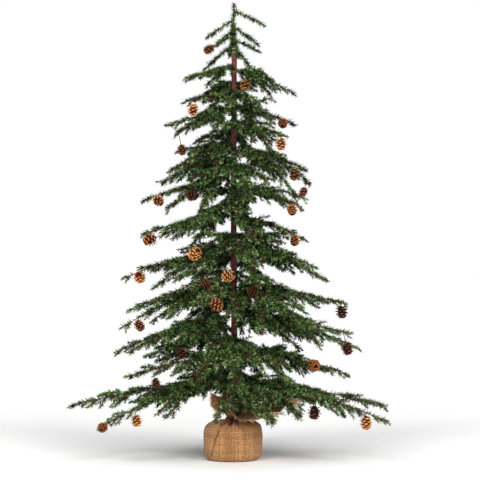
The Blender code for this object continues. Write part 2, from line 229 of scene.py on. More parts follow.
def pole_material():
    """Dusty red-brown paper-wrapped pole: long streaks, pale dust and dark scuffs."""
    made, tree, shader = new_material("pole_wrap", 0.78)
    place = node(tree, "ShaderNodeTexCoord")
    stretch = node(tree, "ShaderNodeMapping")
    stretch.inputs["Scale"].default_value = (1, 1, 0.30)
    tree.links.new(place.outputs["Object"], stretch.inputs[0])
    streak = node(tree, "ShaderNodeTexNoise")
    streak.inputs["Scale"].default_value = 620
    streak.inputs["Detail"].default_value = 6
    streak.inputs["Roughness"].default_value = 0.65
    tree.links.new(stretch.outputs[0], streak.inputs["Vector"])
    blotch = node(tree, "ShaderNodeTexNoise")
    blotch.inputs["Scale"].default_value = 46
    blotch.inputs["Detail"].default_value = 3
    tree.links.new(place.outputs["Object"], blotch.inputs["Vector"])
    tone = ramp(
        tree,
        (
            (0.30, srgb(60, 24, 22)),
            (0.46, srgb(104, 48, 44)),
            (0.60, srgb(140, 78, 70)),
            (0.78, srgb(178, 126, 114)),
        ),
    )
    tree.links.new(streak.outputs["Fac"], tone.inputs[0])
    dust = ramp(tree, ((0.35, (0.62, 0.55, 0.55)), (0.65, (1.15, 1.08, 1.05))))
    tree.links.new(blotch.outputs["Fac"], dust.inputs[0])
    colour = mix_colour(tree, "MULTIPLY", 1.0, tone.outputs[0], dust.outputs[0])
    tree.links.new(colour.outputs[2], shader.inputs["Base Color"])
    bump = node(tree, "ShaderNodeBump")
    bump.inputs["Strength"].default_value = 0.7
    bump.inputs["Distance"].default_value = 0.0006
    tree.links.new(streak.outputs["Fac"], bump.inputs["Height"])
    tree.links.new(bump.outputs[0], shader.inputs["Normal"])
    return made


POLE = pole_material()


def cone_material(name, dark, middle, light, edge):
    made, tree, shader = new_material(name, 0.62)
    uv = node(tree, "ShaderNodeUVMap", uv_map="OFBake")
    split = node(tree, "ShaderNodeSeparateXYZ")
    tree.links.new(uv.outputs[0], split.inputs[0])
    shadow = tuple(c * 0.45 for c in dark)
    along = ramp(tree, ((0.0, shadow), (0.45, dark), (0.66, middle), (0.84, light), (0.97, edge)))
    tree.links.new(split.outputs[1], along.inputs[0])
    vary = ramp(
        tree,
        ((0.0, (0.72, 0.70, 0.68)), (0.3, (1.0, 0.98, 0.96)), (0.6, (0.85, 0.85, 0.82)), (1.0, (1.15, 1.10, 1.05))),
    )
    tree.links.new(split.outputs[0], vary.inputs[0])
    colour = mix_colour(tree, "MULTIPLY", 1.0, along.outputs[0], vary.outputs[0])
    tree.links.new(colour.outputs[2], shader.inputs["Base Color"])
    shader.inputs["Specular IOR Level"].default_value = 0.14
    return made


# The four cone colourings run from lit to shaded: the cones' own browns, darkened step by step as painted shade for
# cones among the needles.
CONE_TONES_LIT_TO_SHADED = (
    cone_material(
        "cone_light", srgb(92, 44, 20), srgb(176, 98, 50), srgb(224, 150, 84), srgb(244, 188, 124)
    ),
    cone_material(
        "cone_medium", srgb(56, 25, 13), srgb(122, 62, 32), srgb(174, 100, 54), srgb(212, 144, 88)
    ),
    cone_material(
        "cone_brown", srgb(42, 20, 12), srgb(92, 46, 28), srgb(136, 76, 46), srgb(178, 114, 72)
    ),
    cone_material(
        "cone_dark", srgb(26, 13, 9), srgb(58, 30, 20), srgb(94, 52, 34), srgb(134, 82, 54)
    ),
)


# ------------------------------------------------------------------ skeleton, as in the CAD
POLE_TOP, POLE_BOTTOM = 0.8156, 0.0130
POLE_R_LOW, POLE_R_TOP = 0.0063, 0.0050
HINGE_OFF = 0.0027
TREE_HEIGHT = 0.914

BRANCHES = (
    ("branch_01_left", 0.786, 192, 0.102, 0.028, None),
    ("branch_02_right", 0.778, 352, 0.122, 0.048, (34, 0.088, 0.014)),
    ("branch_03_back", 0.757, 95, 0.100, 0.032, None),
    ("branch_04_left", 0.744, 158, 0.110, 0.027, None),
    ("branch_05_front", 0.735, 262, 0.115, 0.042, None),
    ("branch_06_right", 0.708, 16, 0.130, 0.036, None),
    ("branch_07_left", 0.700, 204, 0.147, 0.036, (-22, 0.118, 0.050)),
    ("branch_08_front_right", 0.674, 312, 0.146, 0.034, None),
    ("branch_09_back", 0.664, 98, 0.145, 0.044, None),
    ("branch_10_left_front", 0.633, 216, 0.158, 0.062, None),
    ("branch_11_right", 0.626, 350, 0.148, 0.048, (42, 0.186, 0.070)),
    ("branch_12_left_back", 0.606, 147, 0.182, 0.050, None),
    ("branch_13_front", 0.590, 279, 0.165, 0.052, None),
    ("branch_14_left", 0.568, 184, 0.187, 0.053, (22, 0.150, 0.072)),
    ("branch_15_right_front", 0.553, 326, 0.160, 0.052, None),
    ("branch_16_back", 0.540, 83, 0.190, 0.050, None),
    ("branch_17_front_left", 0.514, 243, 0.190, 0.060, None),
    ("branch_18_left", 0.492, 166, 0.192, 0.041, (26, 0.150, 0.046)),
    ("branch_19_right", 0.487, 7, 0.146, 0.048, None),
    ("branch_20_front", 0.452, 283, 0.186, 0.062, None),
    ("branch_21_right_front", 0.436, 332, 0.184, 0.052, (20, 0.190, 0.080)),
    ("branch_22_left", 0.427, 186, 0.224, 0.066, (20, 0.176, 0.084)),
    ("branch_23_back", 0.420, 78, 0.215, 0.058, (38, 0.200, 0.066)),
    ("branch_24_front_left", 0.378, 248, 0.205, 0.066, None),
    ("branch_25_left", 0.352, 164, 0.224, 0.056, (30, 0.228, 0.086)),
    ("branch_26_right", 0.349, 10, 0.231, 0.038, None),
    ("branch_27_front_right", 0.345, 311, 0.236, 0.074, (-24, 0.190, 0.082)),
    ("branch_28_back", 0.330, 108, 0.235, 0.060, (-36, 0.230, 0.064)),
    ("branch_29_right", 0.290, 347, 0.234, 0.034, (27, 0.262, 0.072)),
    ("branch_30_left", 0.286, 181, 0.238, 0.072, (23, 0.226, 0.066)),
    ("branch_31_back_left", 0.262, 136, 0.262, 0.070, None),
    ("branch_32_front", 0.248, 272, 0.215, 0.084, (-26, 0.200, 0.076)),
    ("branch_33_right_back", 0.222, 42, 0.262, 0.056, (-30, 0.240, 0.058)),
    ("branch_34_left", 0.214, 196, 0.220, 0.046, None),
    ("branch_35_back", 0.176, 92, 0.290, 0.072, (32, 0.280, 0.070)),
    ("branch_36_left", 0.161, 174, 0.330, 0.056, (25, 0.278, 0.090)),
    ("branch_37_right", 0.158, 3, 0.307, 0.052, (-22, 0.316, 0.072)),
    ("branch_38_front", 0.152, 291, 0.212, 0.060, (-33, 0.170, 0.056)),
)

# name, centre (x, z), length, branch, share, arm, in front, tone (0 light to 3 dark; darker tones add painted shade to
# the cone's own brown)
CONES = (
    ("cone_01_upper_middle", 0.022, 0.749, 0.026, "branch_02_right", 0.18, 0, 0.000, 0),
    ("cone_02_upper_left", -0.080, 0.697, 0.026, "branch_07_left", 0.57, 0, 0.004, 0),
    ("cone_03_upper_right", 0.098, 0.673, 0.024, "branch_06_right", 0.75, 0, 0.012, 2),
    ("cone_04_front_right", 0.092, 0.625, 0.026, "branch_08_front_right", 0.93, 0, 0.000, 0),
    ("cone_05_right", 0.120, 0.569, 0.027, "branch_11_right", 0.85, 0, 0.000, 2),
    ("cone_06_left", -0.168, 0.439, 0.030, "branch_18_left", 0.93, 1, 0.000, 1),
    ("cone_07_right", 0.122, 0.437, 0.024, "branch_19_right", 0.83, 0, 0.008, 1),
    ("cone_08_middle_left", -0.076, 0.413, 0.032, "branch_22_left", 0.37, 1, 0.020, 0),
    ("cone_09_left", -0.188, 0.363, 0.026, "branch_22_left", 0.83, 0, -0.012, 0),
    ("cone_10_middle", -0.010, 0.369, 0.028, "branch_24_front_left", 0.28, 0, 0.008, 0),
    ("cone_11_front_left", -0.032, 0.313, 0.028, "branch_24_front_left", 0.68, 0, 0.000, 1),
    ("cone_12_right", 0.218, 0.293, 0.028, "branch_26_right", 0.93, 0, 0.008, 3),
    ("cone_13_left", -0.186, 0.269, 0.026, "branch_25_left", 0.85, 1, 0.000, 2),
    ("cone_14_lower_right", 0.162, 0.186, 0.028, "branch_33_right_back", 0.62, 1, 0.032, 1),
    ("cone_15_lower_left", -0.192, 0.082, 0.026, "branch_36_left", 0.67, 1, 0.000, 0),
    ("cone_16_lower_right", 0.159, 0.096, 0.030, "branch_37_right", 0.45, 1, 0.000, 3),
    ("cone_17_far_right", 0.259, 0.081, 0.030, "branch_37_right", 0.83, 1, 0.000, 0),
    ("cone_18_top", -0.050, 0.818, 0.024, "leader", 1.0, 4, 0.000, 2),
    ("cone_19_left", -0.104, 0.619, 0.024, "branch_07_left", 0.93, 1, 0.000, 2),
    ("cone_20_right", 0.136, 0.533, 0.022, "branch_15_right_front", 0.90, 0, 0.000, 2),
    ("cone_21_left", -0.082, 0.527, 0.026, "branch_14_left", 0.60, 1, 0.008, 3),
    ("cone_22_left", -0.150, 0.517, 0.024, "branch_14_left", 0.83, 0, 0.008, 1),
    ("cone_23_right", 0.114, 0.497, 0.024, "branch_15_right_front", 0.83, 0, 0.010, 1),
    ("cone_24_middle", -0.056, 0.353, 0.024, "branch_24_front_left", 0.45, 0, 0.000, 3),
    ("cone_25_middle", 0.036, 0.339, 0.024, "branch_27_front_right", 0.25, 1, 0.004, 3),
    ("cone_26_right", 0.224, 0.224, 0.028, "branch_29_right", 0.93, 0, 0.000, 3),
    ("cone_27_left", -0.102, 0.216, 0.028, "branch_34_left", 0.42, 0, 0.006, 3),
    ("cone_28_left", -0.154, 0.156, 0.022, "branch_34_left", 0.73, 0, 0.000, 3),
    ("cone_29_far_left", -0.256, 0.073, 0.022, "branch_36_left", 0.95, 1, 0.010, 2),
)

LEADER_TWIGS = (
    # height of the root, azimuth, reach, rise of the tip above the root
    (0.897, 350, 0.062, -0.030),
    (0.879, 187, 0.054, -0.037),
    (0.866, 12, 0.052, -0.037),
    (0.858, 165, 0.040, -0.030),
    (0.848, 214, 0.046, -0.024),
    (0.838, 340, 0.055, -0.024),
    (0.831, 172, 0.060, -0.050),
    (0.826, 30, 0.040, -0.042),
    (0.874, 92, 0.036, -0.026),
    (0.843, 100, 0.050, -0.032),
    (0.855, 268, 0.034, -0.026),
    (0.833, 285, 0.044, -0.034),
)


def pole_radius(z):
    share = (z - POLE_BOTTOM) / (POLE_TOP - POLE_BOTTOM)
    return POLE_R_LOW + (POLE_R_TOP - POLE_R_LOW) * share


def unit_hash(*keys):
    value = 0.5
    for n, key in enumerate(keys):
        value = (value * 7.31 + math.sin(key * 12.9898 + n * 4.137 + 1.7) * 437.585) % 1.0
    return value


def bezier(points, t):
    a, b, c, d = points
    s = 1.0 - t
    return a * s**3 + b * (3 * s * s * t) + c * (3 * s * t * t) + d * t**3


def tangent(points, t):
    a, b, c, d = points
    s = 1.0 - t
    return ((b - a) * (3 * s * s) + (c - b) * (6 * s * t) + (d - c) * (3 * t * t)).normalized()


def arms_of(number, z, reach, drop, fork):
    hinge = pole_radius(z) + HINGE_OFF
    length = reach - hinge
    sway = (unit_hash(number, 1) - 0.5) * 0.07 * length
    main = (
        Vector((0, 0, 0)),
        Vector((0.36 * length, sway, -0.20 * drop)),
        Vector((0.72 * length, -0.5 * sway, -0.60 * drop)),
        Vector((length, 0, -drop)),
    )
    arms = [main]
    if fork:
        turn, reach2, drop2 = fork
        turn = math.radians(turn)
        start = bezier(main, 0.14)
        along = tangent(main, 0.14)
        end = Vector((reach2 * math.cos(turn) - hinge, reach2 * math.sin(turn), -drop2))
        span = (end - start).length
        toward = (end - start).normalized()
        arms.append(
            (
                start,
                start + (along * 0.6 + toward * 0.4) * (0.30 * span) + Vector((0, 0, 0.06 * drop2)),
                start + (end - start) * 0.68 + Vector((0, 0, 0.10 * drop2)),
                end,
            )
        )
    return arms


# ------------------------------------------------------------------ mesh helpers
class Soup:
    """Collects vertices and faces (all quads or all triangles) with a map for each corner."""

    def __init__(self):
        self.points, self.quads, self.maps, self.count = [], [], [], 0

    def add(self, points, quads, maps):
        self.points.append(points)
        self.quads.append(quads + self.count)
        self.maps.append(maps)
        self.count += len(points)

    def build(self, name, material, smooth=False, map_name="OFBake"):
        points = np.vstack(self.points)
        quads = np.vstack(self.quads)
        maps = np.vstack(self.maps)
        mesh = bpy.data.meshes.new(name)
        mesh.vertices.add(len(points))
        mesh.vertices.foreach_set("co", points.astype(np.float32).ravel())
        mesh.loops.add(quads.size)
        mesh.loops.foreach_set("vertex_index", quads.astype(np.int32).ravel())
        mesh.polygons.add(len(quads))
        sides = quads.shape[1]
        mesh.polygons.foreach_set("loop_start", np.arange(len(quads), dtype=np.int32) * sides)
        mesh.polygons.foreach_set("loop_total", np.full(len(quads), sides, np.int32))
        mesh.update(calc_edges=True)
        mesh.validate()
        layer = mesh.uv_layers.new(name=map_name)
        layer.data.foreach_set("uv", maps.astype(np.float32).ravel())
        if smooth:
            mesh.polygons.foreach_set("use_smooth", np.ones(len(quads), bool))
        mesh.materials.append(material)
        obj = bpy.data.objects.new(name, mesh)
        scene.collection.objects.link(obj)
        return obj


def resample(path, step):
    """Points and unit directions evenly spaced along a polyline, and its length."""
    path = np.asarray(path, float)
    seg = np.linalg.norm(np.diff(path, axis=0), axis=1)
    at = np.concatenate([[0], np.cumsum(seg)])
    length = at[-1]
    count = max(int(length / step), 2)
    s = (np.arange(count) + 0.5) * length / count
    points = np.stack([np.interp(s, at, path[:, k]) for k in range(3)], 1)
    ahead = np.stack([np.interp(s + 0.001, at, path[:, k]) for k in range(3)], 1)
    behind = np.stack([np.interp(s - 0.001, at, path[:, k]) for k in range(3)], 1)
    way = ahead - behind
    way /= np.maximum(np.linalg.norm(way, axis=1, keepdims=True), 1e-9)
    return points, way, s, length


def needles_along(soup, path, rng, per_mm, long, bare=0.0, spread=(46, 88), width=0.00140, gaps=0.0):
    """A brush of needle strips round a polyline, swept towards its tip."""
    step = 0.001 / per_mm
    points, way, s, length = resample(path, step)
    keep = s >= bare
    if gaps > 0:
        place = 0.0
        while place < length:
            place += rng.uniform(0.6, 1.8) * gaps
            hole = rng.uniform(0.003, 0.008)
            keep &= ~((s > place) & (s < place + hole) & (rng.random(len(s)) < 0.85))
    points, way, s = points[keep], way[keep], s[keep]
    n = len(points)
    if not n:
        return
    points = points + way * rng.normal(0, step, (n, 1))
    side = np.cross(way, (0.0, 0.0, 1.0))
    side /= np.maximum(np.linalg.norm(side, axis=1, keepdims=True), 1e-6)
    up = np.cross(side, way)
    turn = rng.uniform(0, 2 * np.pi, n)
    # A little more to the sides than up and down, as a pressed brush has.
    turn = turn - 0.22 * np.sin(2 * turn)
    out = side * np.cos(turn)[:, None] + up * np.sin(turn)[:, None]
    near_tip = np.clip((s - (length - 0.010)) / 0.010, 0, 1)
    lean = np.radians(rng.uniform(*spread, n)) * (1 - 0.62 * near_tip)
    d = way * np.cos(lean)[:, None] + out * np.sin(lean)[:, None]
    size = long * rng.uniform(0.50, 1.12, n) * (1 - 0.25 * near_tip)
    flat = np.cross(d, rng.normal(0, 1, (n, 3)))
    flat /= np.maximum(np.linalg.norm(flat, axis=1, keepdims=True), 1e-9)
    root = points + out * 0.0004
    tip = root + d * size[:, None]
    half = flat * (width / 2)
    quad = np.stack([root - half, root + half, tip + half * 0.5, tip - half * 0.5], 1)
    quads = np.arange(n * 4).reshape(n, 4)
    # The film turns as it winds: short stretches of it share one place on the ramp of greens, so they are painted as
    # catching the light or lying in shade.
    painted_light_patch = (s / 0.0032 + 0.35 * rng.normal(0, 1, n)).astype(int) % 997
    tuft = rng.random(997)[painted_light_patch]
    u = np.clip(0.74 * tuft + 0.26 * rng.random(n), 0, 1) * 0.96
    uv = np.zeros((n, 4, 2))
    uv[:, :, 0] = u[:, None] + np.array([0, 0.04, 0.04, 0])
    uv[:, :, 1] = np.array([0.02, 0.02, 0.98, 0.98])
    soup.add(quad.reshape(-1, 3), quads, uv.reshape(-1, 2))


def tube_along(soup, path, radii, sides=6, closed=True):
    """A round wire along a polyline."""
    path = np.asarray(path, float)
    radii = np.asarray(radii, float)
    n = len(path)
    way = np.gradient(path, axis=0)
    way /= np.maximum(np.linalg.norm(way, axis=1, keepdims=True), 1e-9)
    ref = np.array((0.0, 0.0, 1.0)) if abs(way[0][2]) < 0.9 else np.array((1.0, 0.0, 0.0))
    across = np.zeros_like(path)
    last = np.cross(way[0], ref)
    for k in range(n):
        last = last - way[k] * last.dot(way[k])
        last = last / max(np.linalg.norm(last), 1e-9)
        across[k] = last
    up = np.cross(across, way)
    angle = np.arange(sides) * 2 * np.pi / sides
    ring = (
        path[:, None]
        + radii[:, None, None]
        * (across[:, None] * np.cos(angle)[None, :, None] + up[:, None] * np.sin(angle)[None, :, None])
    ).reshape(-1, 3)
    k, j = np.meshgrid(np.arange(n - 1), np.arange(sides), indexing="ij")
    a = (k * sides + j).ravel()
    b = (k * sides + (j + 1) % sides).ravel()
    quads = np.stack([b, a, a + sides, b + sides], 1)
    u0, u1 = j.ravel() / sides, (j.ravel() + 1) / sides
    # Measured along the wire, so that its tape looks the same on long and short pieces.
    walk = np.concatenate([[0], np.cumsum(np.maximum(np.linalg.norm(np.diff(path, axis=0), axis=1), 1e-4))])
    walk = walk / max(0.36, 1.02 * walk[-1])
    v0, v1 = walk[k.ravel()], walk[k.ravel() + 1]
    uv = np.stack(
        [np.stack([u1, v0], 1), np.stack([u0, v0], 1), np.stack([u0, v1], 1), np.stack([u1, v1], 1)], 1
    ).reshape(-1, 2)
    if closed:
        # End caps as a fan of quads that share the middle of the ring.
        ends = np.stack([path[0], path[-1]])
        base = len(ring)
        ring = np.vstack([ring, ends])
        caps = []
        for j in range(0, sides, 2):
            caps.append((base, j, (j + 1) % sides, (j + 2) % sides))
            o = (n - 1) * sides
            caps.append((base + 1, o + (j + 2) % sides, o + (j + 1) % sides, o + j))
        quads = np.vstack([quads, caps])
        uv = np.vstack([uv, np.tile([[0.5, 0.5], [0.4, 0.5], [0.5, 0.6], [0.6, 0.5]], (len(caps), 1))])
    soup.add(ring, quads, uv)


# ------------------------------------------------------------------ branches
def to_world(number, azimuth, z):
    a = math.radians(azimuth)
    r = pole_radius(z) + HINGE_OFF
    return Matrix.Translation((r * math.cos(a), r * math.sin(a), z)) @ Matrix.Rotation(a, 4, "Z")


def grow_twig(start, along, side, size, rng, droop, roll=0.0):
    """A side twig as a short curve: out, swept forwards, with a soft droop. The roll turns it
    round the stem, up or down from the branch's own plane."""
    turn = Matrix.Rotation(side * math.radians(rng.uniform(28, 50)), 3, "Z")
    out = turn @ along
    out.z = along.z - droop
    out = Matrix.Rotation(side * roll, 3, along) @ out
    out.normalize()
    bend = (out * 0.6 + along * 0.4).normalized()
    end = start + out * (0.58 * size) + bend * (0.42 * size)
    end.z -= 0.05 * size
    return (start, start + out * (0.33 * size), start + out * (0.62 * size), end)


def curve_points(points, count):
    return [bezier(points, k / (count - 1)) for k in range(count)]


BRUSH = 2.4  # needle strips per millimetre of brush


def leader_line(z):
    return Vector((-0.0010 * math.sin((z - leader_root) * 30), 0, z))


def find_cone_spots():
    """Each cone's root on its arm, its centre and its length, before any twig grows."""
    rows = {row[0]: (number, row) for number, row in enumerate(BRANCHES, 1)}
    spots = []
    for cone_name, x, z, length, branch, share, arm, front, tone in CONES:
        if branch == "leader":
            root_z, azimuth, reach, rise = LEADER_TWIGS[arm]
            a = math.radians(azimuth)
            start = leader_line(root_z) + Vector((reach * math.cos(a), reach * math.sin(a), rise))
        else:
            number, (_, root_z, azimuth, reach, drop, fork) = rows[branch]
            arms = arms_of(number, root_z, reach, drop, fork)
            start = to_world(number, azimuth, root_z) @ bezier(arms[arm], share)
        centre = Vector((x, start.y - front, z))
        if cone_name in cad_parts:
            low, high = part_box(cone_name)
            centre = (low + high) / 2
        spots.append((start, centre, length))
    return spots


leader_root = POLE_TOP + 0.0006
cone_places = find_cone_spots()
cone_spots = [(np.array(centre), length) for _, centre, length in cone_places]


def hides_cone(path):
    """Whether a twig would run through a cone or right in front of one."""
    path = np.asarray(path, float)
    dense = np.concatenate([path, (path[1:] + path[:-1]) / 2])
    for centre, length in cone_spots:
        gap = dense - centre
        flat = np.hypot(gap[:, 0], gap[:, 2])
        if ((flat < 0.50 * length) & (gap[:, 1] < 0.45 * length) & (gap[:, 1] > -0.075)).any():
            return True
    return False


def brush(needles, wires, path, radii, rng, long, bare=0.0, gaps=0.0, sides=4, keep=False):
    """A wire with its needles. Says whether it was put in: one that hides a cone isn't."""
    if not keep and hides_cone(path):
        return False
    tube_along(wires, path, radii, sides)
    needles_along(needles, path, rng, BRUSH, long, bare=bare, gaps=gaps)
    return True


def dress(needles, wires, place, points, rng, number, long, size_at, pitch, first, level=0, sub_from=0.034, hang=0.13):
    """Side twigs, left and right in turn, along one stem, and smaller ones on the long twigs."""
    length = sum((bezier(points, (k + 1) / 8) - bezier(points, k / 8)).length for k in range(8))
    spots = np.arange(first, length - 0.005, pitch)
    for j, s in enumerate(spots):
        t = float(np.clip(s / length + rng.normal(0, 0.012), 0.02, 0.97))
        side = 1 if (j + number) % 2 else -1
        size = max(size_at(t) * rng.uniform(0.76, 1.16), 0.011)
        droop, roll = rng.normal(0.04, 0.12), rng.normal(0, 0.40)
        if rng.random() < hang:
            droop += rng.uniform(0.6, 1.4)
            size *= 0.8
        twig = grow_twig(bezier(points, t), tangent(points, t), side, size, rng, droop, roll)
        steps = max(4, int(size / 0.009))
        path = [tuple(place @ p) for p in curve_points(twig, steps)]
        grown = brush(needles, wires, path, np.linspace(0.0008, 0.0005, steps), rng, 0.0080)
        if grown and size > sub_from and level < 2:
            dress(
                needles, wires, place, twig, rng, j, long, lambda q, z=size: 0.010 + 0.22 * z * (1 - q),
                0.0125, 0.010, level + 1, 0.06, hang,
            )


def make_branch(number, row):
    name, z, azimuth, reach, drop, fork = row
    body = name[:9]
    rng = np.random.default_rng(1000 + number)
    place = to_world(number, azimuth, z)
    arms = arms_of(number, z, reach, drop, fork)
    needles, wires = Soup(), Soup()
    scale = 0.75 + 0.25 * min(1.0, reach / 0.25)
    # Nothing hangs from the lowest front branch, over the burlap.
    hang = 0.0 if number == 38 else 0.13

    for n, points in enumerate(arms):
        length = (points[3] - points[0]).length
        line = [tuple(place @ p) for p in curve_points(points, 14)]
        if n == 0:
            line = [tuple(place @ Vector((-0.0016, 0, 0)))] + line
        radii = np.linspace(0.0015, 0.0008, len(line)) * scale * (0.9 if n else 1)
        if n == 0:
            radii[0] = 0.0008
        brush(needles, wires, line, radii, rng, 0.0078, bare=0.003, gaps=0.036, sides=6, keep=True)
        dress(
            needles, wires, place, points, rng, number + n, 0.0064,
            lambda t: (0.017 + 0.165 * length) * (1.15 - t) ** 0.75,
            0.0092, 0.006 + 0.06 * length, hang=hang,
        )
        # Long shoots near the root, which fill the tree round its pole.
        crown = min(1.0, max(0.0, (z - 0.56) / 0.16))
        shoots = (5 if n == 0 else 2) + (length > 0.16) + (length > 0.24) + round(2 * crown)
        for k in range(shoots):
            t = 0.02 + 0.20 * (k + rng.random()) / shoots
            side = 1 if (k + number) % 2 or number == 38 else -1
            size = min(rng.uniform(0.42, 0.76) * length * (1 - 0.10 * crown), 0.125)
            if number == 38:
                size = min(size, 0.085)
            start, along = bezier(points, t), tangent(points, t)
            turn = Matrix.Rotation(side * math.radians(rng.uniform(30, 86)), 3, "Z")
            out = turn @ along
            out.z = along.z * (0.45 if number == 38 else 1.0) + rng.normal(-0.02, 0.14)
            out = Matrix.Rotation(side * rng.normal(0, 0.22), 3, along) @ out
            out.normalize()
            bend = (out * 0.75 + along * 0.25).normalized()
            end = start + out * (0.6 * size) + bend * (0.4 * size)
            end.z -= 0.10 * size
            shoot = (start, start + out * (0.33 * size), start + out * (0.64 * size), end)
            steps = max(6, int(size / 0.010))
            path = [tuple(place @ p) for p in curve_points(shoot, steps)]
            if not brush(needles, wires, path, np.linspace(0.0010, 0.0006, steps), rng, 0.0076, gaps=0.05, sides=5):
                continue
            dress(
                needles, wires, place, shoot, rng, k, 0.0064,
                lambda q, z=size: 0.010 + 0.21 * z * (1.1 - q),
                0.0115, 0.012, 1, 0.05, hang,
            )
    # Shoots that lie across the front of the pole.
    if math.sin(math.radians(azimuth)) < 0.55:
        span = (arms[0][3] - arms[0][0]).length
        toward = 1 if math.cos(math.radians(azimuth)) < 0 else -1
        facing = max(0.0, -math.sin(math.radians(azimuth)))
        for k in range(2 if facing > 0.5 else 3):
            t = 0.02 + 0.07 * (k + rng.random())
            start, along = bezier(arms[0], t), tangent(arms[0], t)
            spin = rng.uniform(96, 116) if k != 1 else rng.uniform(60, 92)
            turn = math.radians(spin * (1 - 0.40 * facing)) * toward
            out = Matrix.Rotation(turn if k == 0 or facing < 0.5 else -turn, 3, "Z") @ along
            out.z = rng.normal(-0.12, 0.20)
            out.normalize()
            size = min(rng.uniform(0.34, 0.52) * span, 0.066)
            end = start + out * (0.8 * size) + along * (0.15 * size) - Vector((0, 0, 0.12 * size))
            shoot = (start, start + out * (0.3 * size), start + out * (0.62 * size), end)
            steps = max(5, int(size / 0.010))
            path = [tuple(place @ p) for p in curve_points(shoot, steps)]
            if not brush(needles, wires, path, np.linspace(0.0009, 0.0006, steps), rng, 0.0080, gaps=0.05, sides=5):
                continue
            dress(
                needles, wires, place, shoot, rng, k, 0.0064,
                lambda q, z=size: 0.010 + 0.24 * z * (1.1 - q),
                0.0105, 0.010, 1, 0.05,
            )
    # Short tufts round the root, which hide where the stem leaves the pole.
    for k in range(3):
        t = 0.02 + 0.03 * k
        start, along = bezier(arms[0], t), tangent(arms[0], t)
        out = Matrix.Rotation((1 if k % 2 else -1) * math.radians(rng.uniform(62, 118)), 3, "Z") @ along
        out.z = rng.normal(-0.05, 0.35)
        out.normalize()
        size = rng.uniform(0.018, 0.030)
        tuft = (start, start + out * (0.3 * size), start + out * (0.65 * size), start + out * size + along * (0.2 * size))
        path = [tuple(place @ p) for p in curve_points(tuft, 4)]
        brush(needles, wires, path, np.linspace(0.0008, 0.0005, 4), rng, 0.0078)
    return body, name, place, arms, needles, wires, rng


branches = {}
for number, row in enumerate(BRANCHES, 1):
    body, name, place, arms, needles, wires, rng = make_branch(number, row)
    branches[name] = dict(body=body, place=place, arms=arms, needles=needles, wires=wires, rng=rng)

# ------------------------------------------------------------------ leader
leader_rng = np.random.default_rng(77)
leader_needles, leader_wires = Soup(), Soup()
stem = [tuple(leader_line(leader_root + (TREE_HEIGHT - 0.003 - leader_root) * s)) for s in np.linspace(0, 1, 16)]
tube_along(leader_wires, stem, np.linspace(0.0021, 0.0009, 16), 8)
needles_along(leader_needles, stem, leader_rng, BRUSH + 2.2, 0.0084, bare=0.008)
# The bare end of the wire is bent over at the very top.
hook = [
    tuple(leader_line(TREE_HEIGHT - 0.003) + Vector(o))
    for o in ((0, 0, -0.010), (0.0002, -0.0004, -0.002), (0.0016, -0.0006, 0.0018), (0.0034, -0.0006, -0.001), (0.0052, -0.0004, -0.0080), (0.0056, -0.0002, -0.0150))
]
tube_along(leader_wires, hook, [0.0008] * 6, 6)
for j, (z, azimuth, reach, rise) in enumerate(LEADER_TWIGS):
    a = math.radians(azimuth)
    start = leader_line(z)
    end = start + Vector((reach * math.cos(a), reach * math.sin(a), rise))
    middle = start.lerp(end, 0.5) + Vector((0, 0, 0.08 * reach))
    twig = (start, start.lerp(middle, 0.66), middle.lerp(end, 0.33), end)
    path = [tuple(p) for p in curve_points(twig, 8)]
    tube_along(leader_wires, path, np.linspace(0.0010, 0.0006, 8), 5)
    needles_along(leader_needles, path, leader_rng, BRUSH + 2.4, 0.0084, bare=0.001)
    if reach > 0.043:
        for side, share in ((1, 0.45), (-1, 0.62)):
            if unit_hash(j, side) < 0.6:
                sub = grow_twig(
                    bezier(twig, share), tangent(twig, share), side, 0.016, leader_rng, 0.1
                )
                sub_path = [tuple(p) for p in curve_points(sub, 4)]
                tube_along(leader_wires, sub_path, np.linspace(0.0007, 0.0005, 4), 4)
                needles_along(leader_needles, sub_path, leader_rng, BRUSH, 0.0072, bare=0.001)


# ------------------------------------------------------------------ cones
def scale_template():
    """One woody scale: a tongue, thin at its root, with a thick rounded tip."""
    across = np.array((-1.0, -0.4, 0.4, 1.0))
    along = np.array((0.0, 0.40, 0.74, 0.92, 1.0))
    width = np.array((0.30, 0.62, 1.0, 0.82, 0.40))
    thick = np.array((0.03, 0.035, 0.06, 0.085, 0.05))
    top, low = [], []
    for s, wd, th in zip(along, width, thick):
        for v in across:
            crown = 1 - 0.35 * v * v
            top.append((s, v * wd, th * crown + 0.06 * s * s))
            low.append((s, v * wd, -th * 0.5 * crown + 0.06 * s * s - 0.02 * (1 - v * v)))
    points = np.array(top + low)
    rows, cols = len(along), len(across)
    quads = []
    for i in range(rows - 1):
        for j in range(cols - 1):
            a = i * cols + j
            quads.append((a, a + 1, a + cols + 1, a + cols))
            b = a + rows * cols
            quads.append((b, b + cols, b + cols + 1, b + 1))
    for i in range(rows - 1):
        a, b = i * cols, i * cols + rows * cols
        quads.append((a, a + cols, b + cols, b))
        a, b = i * cols + cols - 1, i * cols + cols - 1 + rows * cols
        quads.append((b, b + cols, a + cols, a))
    for j in range(cols - 1):
        a = (rows - 1) * cols + j
        b = a + rows * cols
        quads.append((a, a + 1, b + 1, b))
        a, b = j, j + rows * cols
        quads.append((b, b + 1, a + 1, a))
    return points, np.array(quads)


SCALE_POINTS, SCALE_QUADS = scale_template()


